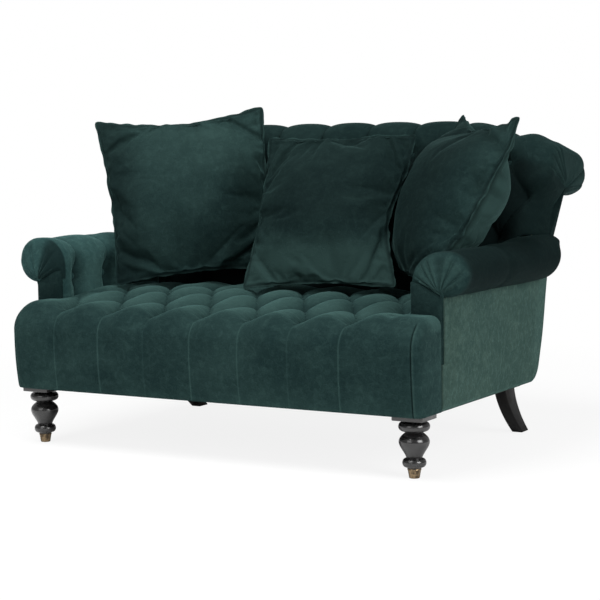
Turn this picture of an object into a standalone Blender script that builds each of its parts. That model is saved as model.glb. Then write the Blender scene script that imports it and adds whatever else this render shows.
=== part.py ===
import math

import bmesh
import bpy
from mathutils import Matrix, Vector
from mathutils.bvhtree import BVHTree

# Velvet sofa, metres, +Z up, floor at z = 0, front towards -Y, left is -X.

# Overall sizes
DEPTH = 1.11
SEAT_WIDTH = 1.13
SEAT_DEPTH = 0.67
SEAT_TOP = 0.448
SEAT_FALL = 0.012
SEAT_CROWN = 0.024
CROWN_SHARE = 0.5
CROWN_EASE = 0.75
CROWN_RUN = 0.20
SEAT_REAR_DROP = 0.020
SEAT_REAR_SOFT = 0.030
ARM_TOP = 0.588
BACK_TOP = 0.918
LEG_HEIGHT = 0.166
BASE_DEPTH = 0.765
BACK_RAKE = math.radians(19.0)

# Gaps between neighbouring pieces
GAP = 0.0003
SOFT_GAP = 0.0006

# Arms
ARM_SETBACK = 0.147
ARM_INSIDE_RADIUS = 0.080
ARM_ROLL_RADIUS = 0.064
ARM_ROLL_REACH = 0.069
ARM_PAD = 0.040
ARM_TOP_CLEAR = 0.010
ARM_POST_WIDTH = 0.038
ARM_POST_DEPTH = 0.045
ARM_RAIL_HEIGHT = 0.042
ARM_END_ROUND = 0.022
ROLL_STUFFING = 0.048

# Back
CREST_RADIUS = 0.085
BACK_ROLL_RADIUS = 0.080
BACK_ROLL_BASE = 0.700
BACK_END_SPREAD = 0.032
BACK_END_ROUND = 0.032
CREST_DROP = 0.070
CREST_LEVEL = 0.38
CREST_FALL_BASE = 0.650
CREST_BUTTON_DROP = 0.035
BACK_END_PLAIN = 0.070
BACK_END_FADE = 0.050
ROLL_TUCK = 0.004
ROLL_TUCK_DROP = 0.012
POST_THICKNESS = 0.040
BACK_RAIL_HEIGHT = 0.070
STAY_RAIL_LIFT = 0.030
CREST_RAIL_DROP = 0.016

# Seat frame
RAIL_THICKNESS = 0.028
RAIL_HEIGHT = 0.095
PANEL = 0.012
PANEL_CORNER = 0.035
EDGE_BREAK = 0.002
FRONT_TUCK = 0.014
FRONT_ROUND_Y = 0.085
FRONT_ROUND_Z = 0.115
LIP_BASE = 0.033
EAR_ROUND = 0.055
FACING = 0.010
BLOCK_LEG = 0.062
BLOCK_HEIGHT = 0.070
BLOCK_LIFT = 0.004

# Seat suspension
STRAP_WIDTH = 0.050
STRAP = 0.002
STRAP_TACK = 0.006
SEAT_STRAPS = 5
CROSS_STRAPS = 3
BACK_STRAPS = 5
SPRING_HEIGHT = 0.120
SPRING_RADIUS = 0.040
SPRING_WAIST = 0.026
SPRING_WIRE = 0.0019
SPRING_TURNS = 3
SPRING_COLUMNS = 3
SPRING_ROW_SHARE = 0.62
CANVAS = 0.002
CANVAS_MARGIN = 0.005
DUST_CLOTH = 0.0015
DUST_MARGIN = 0.004

# Deep buttoning
SEAT_COLUMN = 0.153
SEAT_ROW = 0.125
SEAT_FIRST_ROW = 0.110
SEAT_SHIFT = -0.033
SEAT_ROWS = 4
SEAT_PIT = 0.042
BACK_COLUMN = 0.157
BACK_ROW = 0.125
BACK_ROWS = 3
BACK_PIT = 0.040
ARM_COLUMN = 0.150
ARM_FIRST_BUTTON = 0.085
ARM_BUTTON_DROP = 0.112
ARM_PIT = 0.024
ARM_PLEAT = 0.006
PLEAT = 0.010
DIAMOND_PLEAT = 0.018
PIT_SPREAD = 0.034
FOLD_SPREAD = 0.020

# Front legs, turned
LEG_BLOCK = 0.087
LEG_BLOCK_HEIGHT = 0.015
LEG_INSET = 0.0435
LEG_NECK = 0.022
UPPER_RING_RADIUS = 0.041
UPPER_RING_HEIGHT = 0.026
VASE_RADIUS = 0.038
VASE_FOOT = 0.0205
LOWER_RING_RADIUS = 0.031
LOWER_RING_HEIGHT = 0.024
RING_STEP = 0.004
CUP_COLLAR = 0.003
VASE_SHOULDER = 0.003
CUP_HEIGHT = 0.025
CUP_TOP = 0.0178
CUP_FOOT = 0.0135
CUP_WALL = 0.0016
CUP_FLOOR = 0.0022
CUP_CHAMFER = 0.0008

# Rear legs, swept back
REAR_LEG_SIDE = 0.085
REAR_LEG_SETBACK = 0.028
REAR_LEG_KICK = 0.125
REAR_LEG_TOP = 0.074
REAR_LEG_FOOT = 0.048
REAR_LEG_WIDTH = 0.036
REAR_LEG_CHAMFER = 0.004

# Leg bolts
BOLT_RADIUS = 0.004
BOLT_LEG_DEPTH = 0.040
BOLT_FRAME_DEPTH = 0.055
BOLT_PLAY = 0.0005

# Scatter cushions
CUSHION_THICK = 0.150
CUSHION_EDGE = 0.006
CUSHION_LIFT = 0.050
CUSHION_DRAW = 0.055
LEFT_SIZE = 0.525
LEFT_FROM_ARM = 0.210
LEFT_TURN = math.radians(36.0)
LEFT_LEAN = math.radians(18.0)
LEFT_TILT = math.radians(-5.0)
RIGHT_SIZE = 0.520
RIGHT_FROM_ARM = 0.190
RIGHT_TURN = math.radians(-47.5)
RIGHT_LEAN = math.radians(29.0)
RIGHT_TILT = math.radians(2.0)
MIDDLE_SIZE = 0.480
MIDDLE_X = 0.140
MIDDLE_TURN = math.radians(2.0)
MIDDLE_LEAN = math.radians(25.0)
MIDDLE_TILT = math.radians(-2.0)
MIDDLE_FORWARD = 0.015

# Levels and faces that follow from the sizes above
RAKE = math.tan(BACK_RAKE)
Y_FRONT = -DEPTH / 2
Y_RAIL = Y_FRONT + FRONT_TUCK + LIP_BASE
Y_ARM = Y_FRONT + ARM_SETBACK
X_INSIDE = SEAT_WIDTH / 2
X_POST = X_INSIDE + ARM_PAD
X_FRAME = X_POST + ARM_POST_WIDTH
X_SIDE = X_FRAME + PANEL
Z_RAIL = LEG_HEIGHT + RAIL_HEIGHT
Z_STRAP = LEG_HEIGHT - GAP
Z_SPRING = Z_STRAP + GAP
Z_CANVAS = Z_SPRING + SPRING_HEIGHT + GAP
Z_PAD = Z_CANVAS + CANVAS + GAP
Z_ROLL = ARM_TOP - 2 * ARM_ROLL_RADIUS
Z_BACK_NOTCH = ARM_TOP + ARM_TOP_CLEAR

# Mesh steps
BACK_FACE_STEPS = 16
TURNED_SIDES = 18
BOLT_SIDES = 10
CUSHION_STEPS = 12
END_SHARES = (1.0, 0.62, 0.3, 0.08, 0.0)
SMOOTH_ANGLE = math.radians(38.0)
VELVET = (0.012, 0.042, 0.036)


def clear_scene():
    for item in list(bpy.data.objects):
        bpy.data.objects.remove(item, do_unlink=True)


def material(name, colour, roughness, metallic=0.0):
    mat = bpy.data.materials.new(name)
    mat.use_nodes = True
    shader = mat.node_tree.nodes["Principled BSDF"]
    shader.inputs["Base Color"].default_value = (*colour, 1.0)
    shader.inputs["Roughness"].default_value = roughness
    shader.inputs["Metallic"].default_value = metallic
    return mat


def velvet(name):
    return material(name + "_velvet", VELVET, 0.85)


def beech(name):
    return material(name + "_beech", (0.48, 0.31, 0.17), 0.6)


def jute(name):
    return material(name + "_jute", (0.42, 0.31, 0.19), 0.9)


def ebonised(name):
    return material(name + "_wood", (0.008, 0.008, 0.008), 0.25)


def steel(name):
    return material(name + "_steel", (0.45, 0.45, 0.46), 0.35, 1.0)


def finish(name, bm, mat):
    bmesh.ops.recalc_face_normals(bm, faces=bm.faces)
    mesh = bpy.data.meshes.new(name)
    bm.to_mesh(mesh)
    bm.free()
    mesh.shade_smooth()
    mesh.set_sharp_from_angle(angle=SMOOTH_ANGLE)
    mesh.materials.append(mat)
    piece = bpy.data.objects.new(name, mesh)
    bpy.context.collection.objects.link(piece)
    return piece


def add_box(bm, low, high):
    size = [b - a for a, b in zip(low, high)]
    middle = [(a + b) / 2 for a, b in zip(low, high)]
    place = Matrix.Translation(middle) @ Matrix.Diagonal((*size, 1.0))
    bmesh.ops.create_cube(bm, size=1.0, matrix=place)


def box(name, low, high, mat, bevel=0.0):
    bm = bmesh.new()
    add_box(bm, low, high)
    if bevel:
        bmesh.ops.bevel(bm, geom=bm.edges[:], offset=bevel, segments=1, affect="EDGES")
    return finish(name, bm, mat)


def add_loft(bm, rings):
    """Extrudes a section from station to station; rings of equal length give each section."""
    cap = bm.faces.new([bm.verts.new(point) for point in rings[0]])
    for ring in rings[1:]:
        grown = bmesh.ops.extrude_face_region(bm, geom=[cap, *cap.edges])["geom"]
        cap = next(item for item in grown if isinstance(item, bmesh.types.BMFace))
        for vert, point in zip(cap.verts, ring):
            vert.co = point


def loft(name, rings, mat):
    bm = bmesh.new()
    add_loft(bm, rings)
    return finish(name, bm, mat)


def add_prism(bm, outline, axis, low, high):
    """Pushes a closed outline along one axis: outline pairs follow the two other axes in order."""
    rings = [[], []]
    for ring, level in zip(rings, (low, high)):
        for pair in outline:
            point = list(pair)
            point.insert("xyz".index(axis), level)
            ring.append(point)
    add_loft(bm, rings)


def prism(name, outline, axis, low, high, mat):
    bm = bmesh.new()
    add_prism(bm, outline, axis, low, high)
    return finish(name, bm, mat)


def cut(piece, cutter, operation="DIFFERENCE"):
    cutter.hide_render = True
    cutter.display_type = "WIRE"
    step = piece.modifiers.new(operation.lower(), "BOOLEAN")
    step.operation = operation
    step.solver = "EXACT"
    step.object = cutter


def tree_of(piece):
    """Search tree of a piece as it stands, its cuts made."""
    bpy.context.view_layer.update()
    shown = piece.evaluated_get(bpy.context.evaluated_depsgraph_get())
    mesh = shown.to_mesh()
    verts = [piece.matrix_world @ vert.co for vert in mesh.vertices]
    mesh.calc_loop_triangles()
    faces = [face.vertices[:] for face in mesh.loop_triangles]
    shown.to_mesh_clear()
    return BVHTree.FromPolygons(verts, faces)


def travel_to_touch(verts, faces, trees, direction, reach):
    """Longest free way of a shape along a direction, found by halving, less a soft gap."""
    low = 0.0
    high = reach
    for _ in range(15):
        middle = (low + high) / 2
        moved = [v + direction * middle for v in verts]
        shape = BVHTree.FromPolygons(moved, faces)
        if any(shape.overlap(tree) for tree in trees):
            high = middle
        else:
            low = middle
    return max(low - SOFT_GAP, 0.0)


def outer_back_y(z):
    return Y_FRONT + BASE_DEPTH + (z - LEG_HEIGHT) * RAKE


def inside_back_y(z):
    return Y_FRONT + SEAT_DEPTH + (z - SEAT_TOP) * RAKE


def frame_back_y(z):
    """Front of the raked back frame, behind the back stuffing."""
    return outer_back_y(z) - (PANEL + POST_THICKNESS + STRAP + 3 * GAP) / math.cos(BACK_RAKE)


def smooth_step(value):
    t = min(max(value, 0.0), 1.0)
    return t * t * (3 - 2 * t)


def tuft_depth(u, v, column, row, shift, pit, rows):
    """Depth below the crown: v counts from the first button row, folds run straight before it."""
    last = (rows - 1) * row
    if v < 0 or v > last:
        edge = 0.0 if v < 0 else last
        start = shift + (0.0 if v < 0 else (rows - 1) % 2 * column / 2)
        off = (u - start) / column
        side = abs(off - round(off)) * column
        away = abs(v - edge)
        sink = pit * math.exp(-(math.hypot(side, away) / PIT_SPREAD) ** 2)
        return max(sink, PLEAT * math.exp(-(side / FOLD_SPREAD) ** 2))
    s = (u - shift) / column + v / (2 * row)
    t = v / (2 * row) - (u - shift) / column
    ds = s - round(s)
    dt = t - round(t)
    radius = math.hypot((ds - dt) * column / 2, (ds + dt) * row)
    width = column * row / math.hypot(column / 2, row)
    fold = min(abs(ds), abs(dt)) * width
    sink = pit * math.exp(-(radius / PIT_SPREAD) ** 2)
    return max(sink, DIAMOND_PLEAT * math.exp(-(fold / FOLD_SPREAD) ** 2))


def scroll_outline(lean, base, crest, roll, counts):
    """Inside face, crest and roll as points with outward normals and length along the face."""
    (cx, cz, cr) = crest
    (rx, rz, rr) = roll
    start = math.pi - lean
    reach = math.hypot(rx - cx, rz - cz)
    over = math.atan2(rz - cz, rx - cx) + math.acos((cr - rr) / reach)
    foot = Vector((cx + cr * math.cos(start), cz + cr * math.sin(start)))
    along = Vector((math.sin(lean), math.cos(lean)))
    length = (foot.y - base) / along.y
    points = []
    for i in range(counts[0]):
        step = length * (1 - i / counts[0])
        points.append((foot - along * step, Vector((math.cos(start), math.sin(start))), -step))
    for i in range(counts[1] + 1):
        angle = start + (over - start) * i / counts[1]
        normal = Vector((math.cos(angle), math.sin(angle)))
        points.append((Vector((cx, cz)) + normal * cr, normal, (start - angle) * cr))
    for i in range(counts[2] + 1):
        angle = over + (-math.pi / 2 - over) * i / counts[2]
        normal = Vector((math.cos(angle), math.sin(angle)))
        points.append((Vector((rx, rz)) + normal * rr, normal, None))
    return points


def end_inset(distance, radius):
    """Inward step of a rounded end at a distance from its tip."""
    if distance >= radius:
        return 0.0
    return radius - math.sqrt(max(radius ** 2 - (radius - distance) ** 2, 0.0))


def stations(half, step, radius):
    inner = half - radius
    count = int(inner / step)
    side = [k * step for k in range(count + 1)]
    if inner - side[-1] < step * 0.4:
        side.pop()
    side += [half - radius * share for share in END_SHARES]
    return [-x for x in reversed(side[1:])] + side


def with_edges(places, edges):
    """Adds mirrored stations and drops those that lie too near to them."""
    added = [side * edge for edge in edges for side in (-1, 1)]
    kept = [x for x in places if min(abs(x - edge) for edge in added) > PANEL / 4]
    return sorted(kept + added)


def seat_crown(x, y):
    """Fall of the seat from its level middle towards the arms, less at the rear."""
    level = X_INSIDE * CROWN_SHARE
    ease = 1 - CROWN_EASE * smooth_step((y - Y_ARM) / CROWN_RUN)
    return SEAT_CROWN * ease * smooth_step((abs(x) - level) / (X_INSIDE - level))


def seat_top_z(x, y):
    return SEAT_TOP - seat_crown(x, y) - SEAT_FALL * max(y - Y_FRONT - FRONT_ROUND_Y, 0.0) / SEAT_DEPTH


def seat_ring(x, half):
    """Section of the seat pad across one station, with the lip in front of the front rail."""
    inset = end_inset(half - abs(x), EAR_ROUND)
    first = Y_FRONT + SEAT_FIRST_ROW
    fall = seat_crown(x, Y_FRONT)
    rear_top = seat_top_z(x, Y_FRONT + SEAT_DEPTH) - SEAT_FALL - SEAT_REAR_DROP - PLEAT
    rear = inside_back_y(rear_top) - SOFT_GAP
    count = SEAT_ROWS * 4 - 1
    base = LEG_HEIGHT + GAP if abs(x) > X_FRAME + SOFT_GAP else Z_PAD
    ring = [(x, inside_back_y(base) - SOFT_GAP, base)]
    for i in range(count + 1):
        y = rear + (Y_FRONT + FRONT_ROUND_Y - rear) * i / count
        sink = tuft_depth(x, y - first, SEAT_COLUMN, SEAT_ROW, SEAT_SHIFT, SEAT_PIT, SEAT_ROWS)
        sink *= 1 - smooth_step((abs(x) - X_INSIDE + SEAT_COLUMN / 2) / (SEAT_COLUMN / 2))
        end = SEAT_REAR_DROP * math.exp(-((y - rear) / SEAT_REAR_SOFT) ** 2)
        ring.append((x, y, seat_top_z(x, y) - sink - end - inset))
    off = (x - SEAT_SHIFT) / SEAT_COLUMN
    pleat = PLEAT * math.exp(-((off - round(off)) * SEAT_COLUMN / FOLD_SPREAD) ** 2)
    pleat *= 1 - smooth_step((abs(x) - X_INSIDE + SEAT_COLUMN / 2) / (SEAT_COLUMN / 2))
    for i in range(1, 5):
        angle = math.pi / 2 * i / 4
        y = Y_FRONT + FRONT_ROUND_Y * (1 - math.sin(angle))
        z = SEAT_TOP - fall - (FRONT_ROUND_Z - fall) * (1 - math.cos(angle))
        drawn = inset + pleat
        ring.append((x, y + inset + pleat * math.sin(angle), z - drawn * math.cos(angle)))
    low = SEAT_TOP - FRONT_ROUND_Z
    for i in range(1, 4):
        share = i / 3
        y = Y_FRONT + FRONT_TUCK * share ** 2
        lip = min(inset, LIP_BASE / 2 + (FRONT_TUCK * (1 - share ** 2)))
        ring.append((x, y + lip + pleat * (1 - share) * 0.8, low + (LEG_HEIGHT + GAP - low) * share))
    ring.append((x, Y_RAIL - GAP, LEG_HEIGHT + GAP))
    ring.append((x, Y_RAIL - GAP + 2 * GAP * (base < Z_PAD), base + GAP * (base < Z_PAD)))
    return ring


def make_seat_pad():
    half = X_SIDE
    edges = (X_FRAME + GAP, X_FRAME + PANEL / 3)
    places = with_edges(stations(half, SEAT_COLUMN / 4, EAR_ROUND), edges)
    rings = [seat_ring(x, half) for x in places]
    pad = loft("seat_pad", rings, velvet("seat_pad"))
    bm = bmesh.new()
    for side in (-1, 1):
        near = side * (X_INSIDE - SOFT_GAP)
        far = side * DEPTH
        low = (min(near, far), Y_ARM - FACING - SOFT_GAP, 0.0)
        high = (max(near, far), Y_FRONT + DEPTH, BACK_TOP)
        add_box(bm, low, high)
    cut(pad, finish("arm_space", bm, velvet("arm_space")))
    return pad


def crest_fall(x):
    half = X_SIDE + BACK_END_SPREAD
    return CREST_DROP * smooth_step((abs(x) - CREST_LEVEL) / (half - CREST_LEVEL))


def back_circles(inset):
    crest_z = BACK_TOP - CREST_RADIUS
    crest_y = inside_back_y(crest_z) + CREST_RADIUS / math.cos(BACK_RAKE)
    roll_y = Y_FRONT + DEPTH - BACK_ROLL_RADIUS
    roll_z = BACK_ROLL_BASE + BACK_ROLL_RADIUS
    return (crest_y, crest_z, CREST_RADIUS - inset), (roll_y, roll_z, BACK_ROLL_RADIUS - inset)


def back_ring(x, half):
    """Section of the back: tufted inside face, crest and roll, then the line against the frame."""
    inset = end_inset(half - abs(x), BACK_END_ROUND)
    crest, roll = back_circles(inset)
    points = scroll_outline(BACK_RAKE, Z_PAD, crest, roll, (BACK_FACE_STEPS, 5, 6))
    squeeze = 1 - crest_fall(x) / (BACK_TOP - CREST_FALL_BASE)
    fade = 1 - smooth_step((abs(x) - half + BACK_END_PLAIN) / BACK_END_FADE)
    off = x / BACK_COLUMN - 0.5
    pleat = (PLEAT / 2) * math.exp(-((off - round(off)) * BACK_COLUMN / FOLD_SPREAD) ** 2)
    ring = []
    for place, normal, length in points:
        sink = pleat
        if length is not None:
            sink = tuft_depth(x, -CREST_BUTTON_DROP - length, BACK_COLUMN, BACK_ROW,
                              BACK_COLUMN / 2, BACK_PIT, BACK_ROWS)
        spot = place - normal * sink * fade * smooth_step((place.y - Z_PAD) / SEAT_REAR_SOFT)
        ring.append((x, spot.x, spot.y - max(spot.y - CREST_FALL_BASE, 0.0) * (1 - squeeze)))
    under = BACK_ROLL_BASE + inset / 2 + ROLL_TUCK
    ring.append((x, outer_back_y(under) - ROLL_TUCK / 2 - inset / 2, under))
    for z in (BACK_ROLL_BASE - ROLL_TUCK_DROP, Z_BACK_NOTCH, Z_PAD):
        wrapped = outer_back_y(z) - ROLL_TUCK - inset / 2
        rear = wrapped if abs(x) > X_FRAME + SOFT_GAP else frame_back_y(z)
        ring.append((x, rear, z))
    return ring


def make_back_pad():
    half = X_SIDE + BACK_END_SPREAD
    edges = (X_FRAME + GAP, X_FRAME + PANEL / 3)
    places = with_edges(stations(half, BACK_COLUMN / 4, BACK_END_ROUND), edges)
    rings = [back_ring(x, half) for x in places]
    pad = loft("back_pad", rings, velvet("back_pad"))
    crest, roll = arm_circles(-SOFT_GAP)
    line = [place for place, normal, _ in scroll_outline(0.0, 0.0, crest, roll, (1, 4, 7))
            if normal.y > -GAP]
    bm = bmesh.new()
    for side in (-1, 1):
        outline = [(side * place.x, place.y) for place in line]
        outline += [(side * DEPTH, line[-1].y), (side * DEPTH, line[0].y)]
        add_prism(bm, outline, "y", Y_FRONT, Y_FRONT + DEPTH)
    cut(pad, finish("arm_end_space", bm, velvet("arm_end_space")))
    return pad


def arm_circles(inset):
    crest = (X_INSIDE + ARM_INSIDE_RADIUS, ARM_TOP - ARM_INSIDE_RADIUS, ARM_INSIDE_RADIUS - inset)
    roll_x = X_SIDE + ARM_ROLL_REACH - ARM_ROLL_RADIUS
    return crest, (roll_x, ARM_TOP - ARM_ROLL_RADIUS, ARM_ROLL_RADIUS - inset)


def arm_end(z):
    """Rear end of the arm stuffing, against the raked back frame."""
    return frame_back_y(z) - SOFT_GAP


def arm_ring(side, y, start, end):
    inset = max(end_inset(y - start, ARM_END_ROUND), end_inset(end - y, ARM_END_ROUND))
    crest, roll = arm_circles(inset)
    points = scroll_outline(0.0, Z_PAD, crest, roll, (5, 4, 7))
    row = ARM_TOP - ARM_BUTTON_DROP
    off = (y - Y_ARM - ARM_FIRST_BUTTON) / ARM_COLUMN
    near = (off - round(off)) * ARM_COLUMN
    fade = smooth_step((y - start) / ARM_PAD) * smooth_step((end - y) / ARM_PAD)
    section = []
    for place, normal, length in points:
        sink = 0.0
        if length is not None:
            sink = ARM_PIT * math.exp(-(math.hypot(near, place.y - row) / PIT_SPREAD) ** 2)
            sink = max(sink, ARM_PLEAT * math.exp(-(near / FOLD_SPREAD) ** 2))
        section.append(place - normal * sink * fade)
    inner = X_POST - GAP
    outer = X_FRAME + GAP
    top = ARM_TOP - ROLL_STUFFING + GAP
    if y < start + ARM_END_ROUND - GAP:
        top -= ARM_RAIL_HEIGHT
    section += [Vector((outer, Z_ROLL + inset + STRAP)), Vector((outer, top))]
    section += [Vector((inner, top)), Vector((inner, Z_PAD))]
    share = (y - start) / (end - start)
    return [(side * spot.x, start + share * (arm_end(spot.y) - start), spot.y) for spot in section]


def make_arm_pad(name, side):
    start = Y_ARM
    end = arm_end(ARM_TOP - ARM_BUTTON_DROP)
    step = ARM_COLUMN / 4
    first = Y_ARM + ARM_FIRST_BUTTON
    places = [first + k * step for k in range(-2, int((end - start) / step) + 2)]
    margin = ARM_END_ROUND + step / 3
    places = [y for y in places if start + margin < y < end - margin]
    ends = [ARM_END_ROUND * share for share in reversed(END_SHARES)]
    places = [start + d for d in ends] + places + [end - d for d in reversed(ends)]
    rings = [arm_ring(side, y, start, end) for y in places]
    return loft(name, rings, velvet(name))


def make_arm_facing(name, side):
    """Covered board on the front of the arm, under the pleated roll end."""
    inner = X_INSIDE + FACING
    outer = X_SIDE - STRAP
    shoulder = ARM_TOP - ROLL_STUFFING - ARM_RAIL_HEIGHT
    outline = [(inner, Z_PAD), (outer, Z_PAD), (outer, Z_ROLL + FACING),
               (outer - FACING, shoulder + STRAP),
               (inner + 2 * FACING, shoulder + 2 * FACING), (inner, shoulder)]
    outline = [(side * x, z) for x, z in outline]
    return prism(name, outline, "y", Y_ARM - FACING, Y_ARM - GAP, velvet(name))


def make_outside_arm(name, side):
    """Padded panel under the arm roll, raked at its rear edge."""
    low = LEG_HEIGHT + GAP
    top = Z_ROLL - GAP
    high = ARM_TOP - GAP
    corner = PANEL_CORNER
    outline = [(Y_ARM - FACING, low), (outer_back_y(low) - corner, low),
               (outer_back_y(low) - corner * 0.3, low + corner * 0.25),
               (outer_back_y(low + corner), low + corner),
               (outer_back_y(high), high), (arm_end(high) + STRAP, high), (arm_end(top) + STRAP, top),
               (Y_ARM + GAP, top), (Y_ARM + GAP, Z_PAD - GAP), (Y_ARM - FACING, Z_PAD - GAP)]
    near = side * (X_FRAME + GAP)
    far = side * X_SIDE
    return prism(name, outline, "x", min(near, far), max(near, far), velvet(name))


def make_outside_back():
    low = LEG_HEIGHT + GAP
    top = BACK_ROLL_BASE - STRAP
    depth = PANEL / math.cos(BACK_RAKE)
    rear_low = outer_back_y(low)
    rear_top = outer_back_y(top)
    outline = [(rear_low - depth, low), (rear_low, low), (rear_top, top), (rear_top - depth, top)]
    half = X_FRAME - GAP
    return prism("outside_back", outline, "x", -half, half, velvet("outside_back"))


def make_rails():
    """Four seat rails, butted at the corners; gives the inner faces of the front and rear rails."""
    low = LEG_HEIGHT
    front = (Y_RAIL, Y_RAIL + RAIL_THICKNESS)
    rear_face = outer_back_y(low) - PANEL / math.cos(BACK_RAKE) - GAP
    rear = (rear_face - RAIL_THICKNESS, rear_face)
    name = "front_seat_rail"
    box(name, (-X_FRAME, front[0], low), (X_FRAME, front[1], Z_RAIL), beech(name), EDGE_BREAK)
    inner = X_FRAME - RAIL_THICKNESS
    for hand, side in (("left", -1), ("right", 1)):
        edge = (side * inner, side * X_FRAME)
        name = hand + "_seat_rail"
        first = (min(edge), front[1] + GAP, low)
        last = (max(edge), rear[1], Z_RAIL)
        box(name, first, last, beech(name), EDGE_BREAK)
    half = inner - GAP
    name = "rear_seat_rail"
    rail = box(name, (-half, rear[0], low), (half, rear[1], Z_RAIL), beech(name), EDGE_BREAK)
    return rail, front[1], rear[0]


def front_leg_place(side):
    return Vector((side * (X_FRAME - LEG_INSET), Y_RAIL + LEG_INSET, 0.0))


def rear_leg_place(side):
    y = outer_back_y(LEG_HEIGHT) - REAR_LEG_SETBACK
    return Vector((side * (X_SIDE - REAR_LEG_SIDE), y, 0.0))


def make_corner_block(name, side, y, way):
    """Glued block in a frame corner; the front pair takes the leg bolts."""
    x = X_FRAME - RAIL_THICKNESS - GAP
    low = LEG_HEIGHT + BLOCK_LIFT
    flat = BLOCK_LEG * 0.2
    outline = [(x, y), (x - BLOCK_LEG, y), (x - BLOCK_LEG, y + way * flat),
               (x - flat, y + way * BLOCK_LEG), (x, y + way * BLOCK_LEG)]
    outline = [(side * px, py) for px, py in outline]
    return prism(name, outline, "z", low, low + BLOCK_HEIGHT, beech(name))


def rod(name, place, low, high, radius, mat):
    bm = bmesh.new()
    middle = Matrix.Translation((place.x, place.y, (low + high) / 2))
    bmesh.ops.create_cone(bm, cap_ends=True, segments=BOLT_SIDES, radius1=radius, radius2=radius,
                          depth=high - low, matrix=middle)
    return finish(name, bm, mat)


def make_bolt(name, place, leg, frame):
    """Bolt that holds a leg, with its hole in the leg and in the frame piece above."""
    low = LEG_HEIGHT - BOLT_LEG_DEPTH
    high = LEG_HEIGHT + BOLT_FRAME_DEPTH
    rod(name, place, low, high, BOLT_RADIUS, steel(name))
    wide = BOLT_RADIUS + BOLT_PLAY
    hole_name = name + "_hole"
    hole = rod(hole_name, place, low - BOLT_PLAY, high + BOLT_PLAY, wide, steel(hole_name))
    cut(leg, hole)
    cut(frame, hole)


def ring_points(neck, radius, low, height):
    """Half-round ring standing out from a neck."""
    points = []
    for i in range(1, 5):
        angle = math.pi * i / 5
        reach = neck + (radius - neck) * math.sin(angle) ** 0.7
        points.append((reach, low + height * (1 - math.cos(angle)) / 2))
    return points


def leg_profile():
    """Turned outline from the tip in the cup to the neck under the block: radius, height."""
    top = LEG_HEIGHT - LEG_BLOCK_HEIGHT
    ring_high = top - RING_STEP
    ring_low = ring_high - UPPER_RING_HEIGHT
    vase_top = ring_low - RING_STEP
    low_ring = CUP_HEIGHT + CUP_COLLAR
    low_top = low_ring + LOWER_RING_HEIGHT
    slope = (CUP_TOP - CUP_FOOT) / CUP_HEIGHT
    tip = CUP_FLOOR + GAP
    points = [(CUP_FOOT + slope * tip - CUP_WALL - GAP, tip)]
    points.append((CUP_TOP - CUP_WALL - GAP, CUP_HEIGHT + GAP))
    points += [(CUP_TOP, CUP_HEIGHT + GAP), (CUP_TOP, low_ring)]
    points += ring_points(CUP_TOP, LOWER_RING_RADIUS, low_ring, LOWER_RING_HEIGHT)
    points.append((VASE_FOOT, low_top + RING_STEP / 4))
    for i in range(1, 7):
        share = i / 7
        swell = math.sin(math.pi * share ** 1.55) ** 0.9
        reach = VASE_FOOT + (VASE_RADIUS - VASE_FOOT) * swell + VASE_SHOULDER * share
        points.append((reach, low_top + (vase_top - low_top) * share))
    points += [(LEG_NECK + RING_STEP / 2, vase_top), (LEG_NECK, ring_low)]
    points += ring_points(LEG_NECK, UPPER_RING_RADIUS, ring_low, UPPER_RING_HEIGHT)
    points += [(LEG_NECK, ring_high), (LEG_NECK, top + RING_STEP)]
    return points


def turned(name, profile, place, mat):
    """Spins an outline about its own upright axis and closes both ends."""
    bm = bmesh.new()
    verts = [bm.verts.new((radius, 0.0, z)) for radius, z in profile]
    edges = [bm.edges.new(pair) for pair in zip(verts, verts[1:])]
    bmesh.ops.spin(bm, geom=verts + edges, cent=(0, 0, 0), axis=(0, 0, 1), angle=2 * math.pi,
                   steps=TURNED_SIDES, use_merge=True)
    bmesh.ops.remove_doubles(bm, verts=bm.verts, dist=GAP / 10)
    bmesh.ops.holes_fill(bm, edges=[edge for edge in bm.edges if edge.is_boundary], sides=0)
    piece = finish(name, bm, mat)
    piece.location = place
    return piece


def make_front_leg(name, side):
    place = front_leg_place(side)
    leg = turned(name, leg_profile(), place, ebonised(name))
    half = LEG_BLOCK / 2
    low = (place.x - half, place.y - half, LEG_HEIGHT - LEG_BLOCK_HEIGHT)
    high = (place.x + half, place.y + half, LEG_HEIGHT - GAP)
    block = box(name + "_head", low, high, ebonised(name + "_head"), EDGE_BREAK)
    cut(leg, block, "UNION")
    return leg


def make_cup(name, side):
    slope = (CUP_TOP - CUP_FOOT) / CUP_HEIGHT
    floor = CUP_FOOT + slope * CUP_FLOOR - CUP_WALL
    profile = [(floor, CUP_FLOOR), (CUP_TOP - CUP_WALL, CUP_HEIGHT), (CUP_TOP, CUP_HEIGHT),
               (CUP_FOOT + slope * CUP_CHAMFER, CUP_CHAMFER), (CUP_FOOT - CUP_CHAMFER, 0.0)]
    brass = material(name + "_brass", (0.42, 0.28, 0.10), 0.3, 1.0)
    return turned(name, profile, front_leg_place(side), brass)


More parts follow.
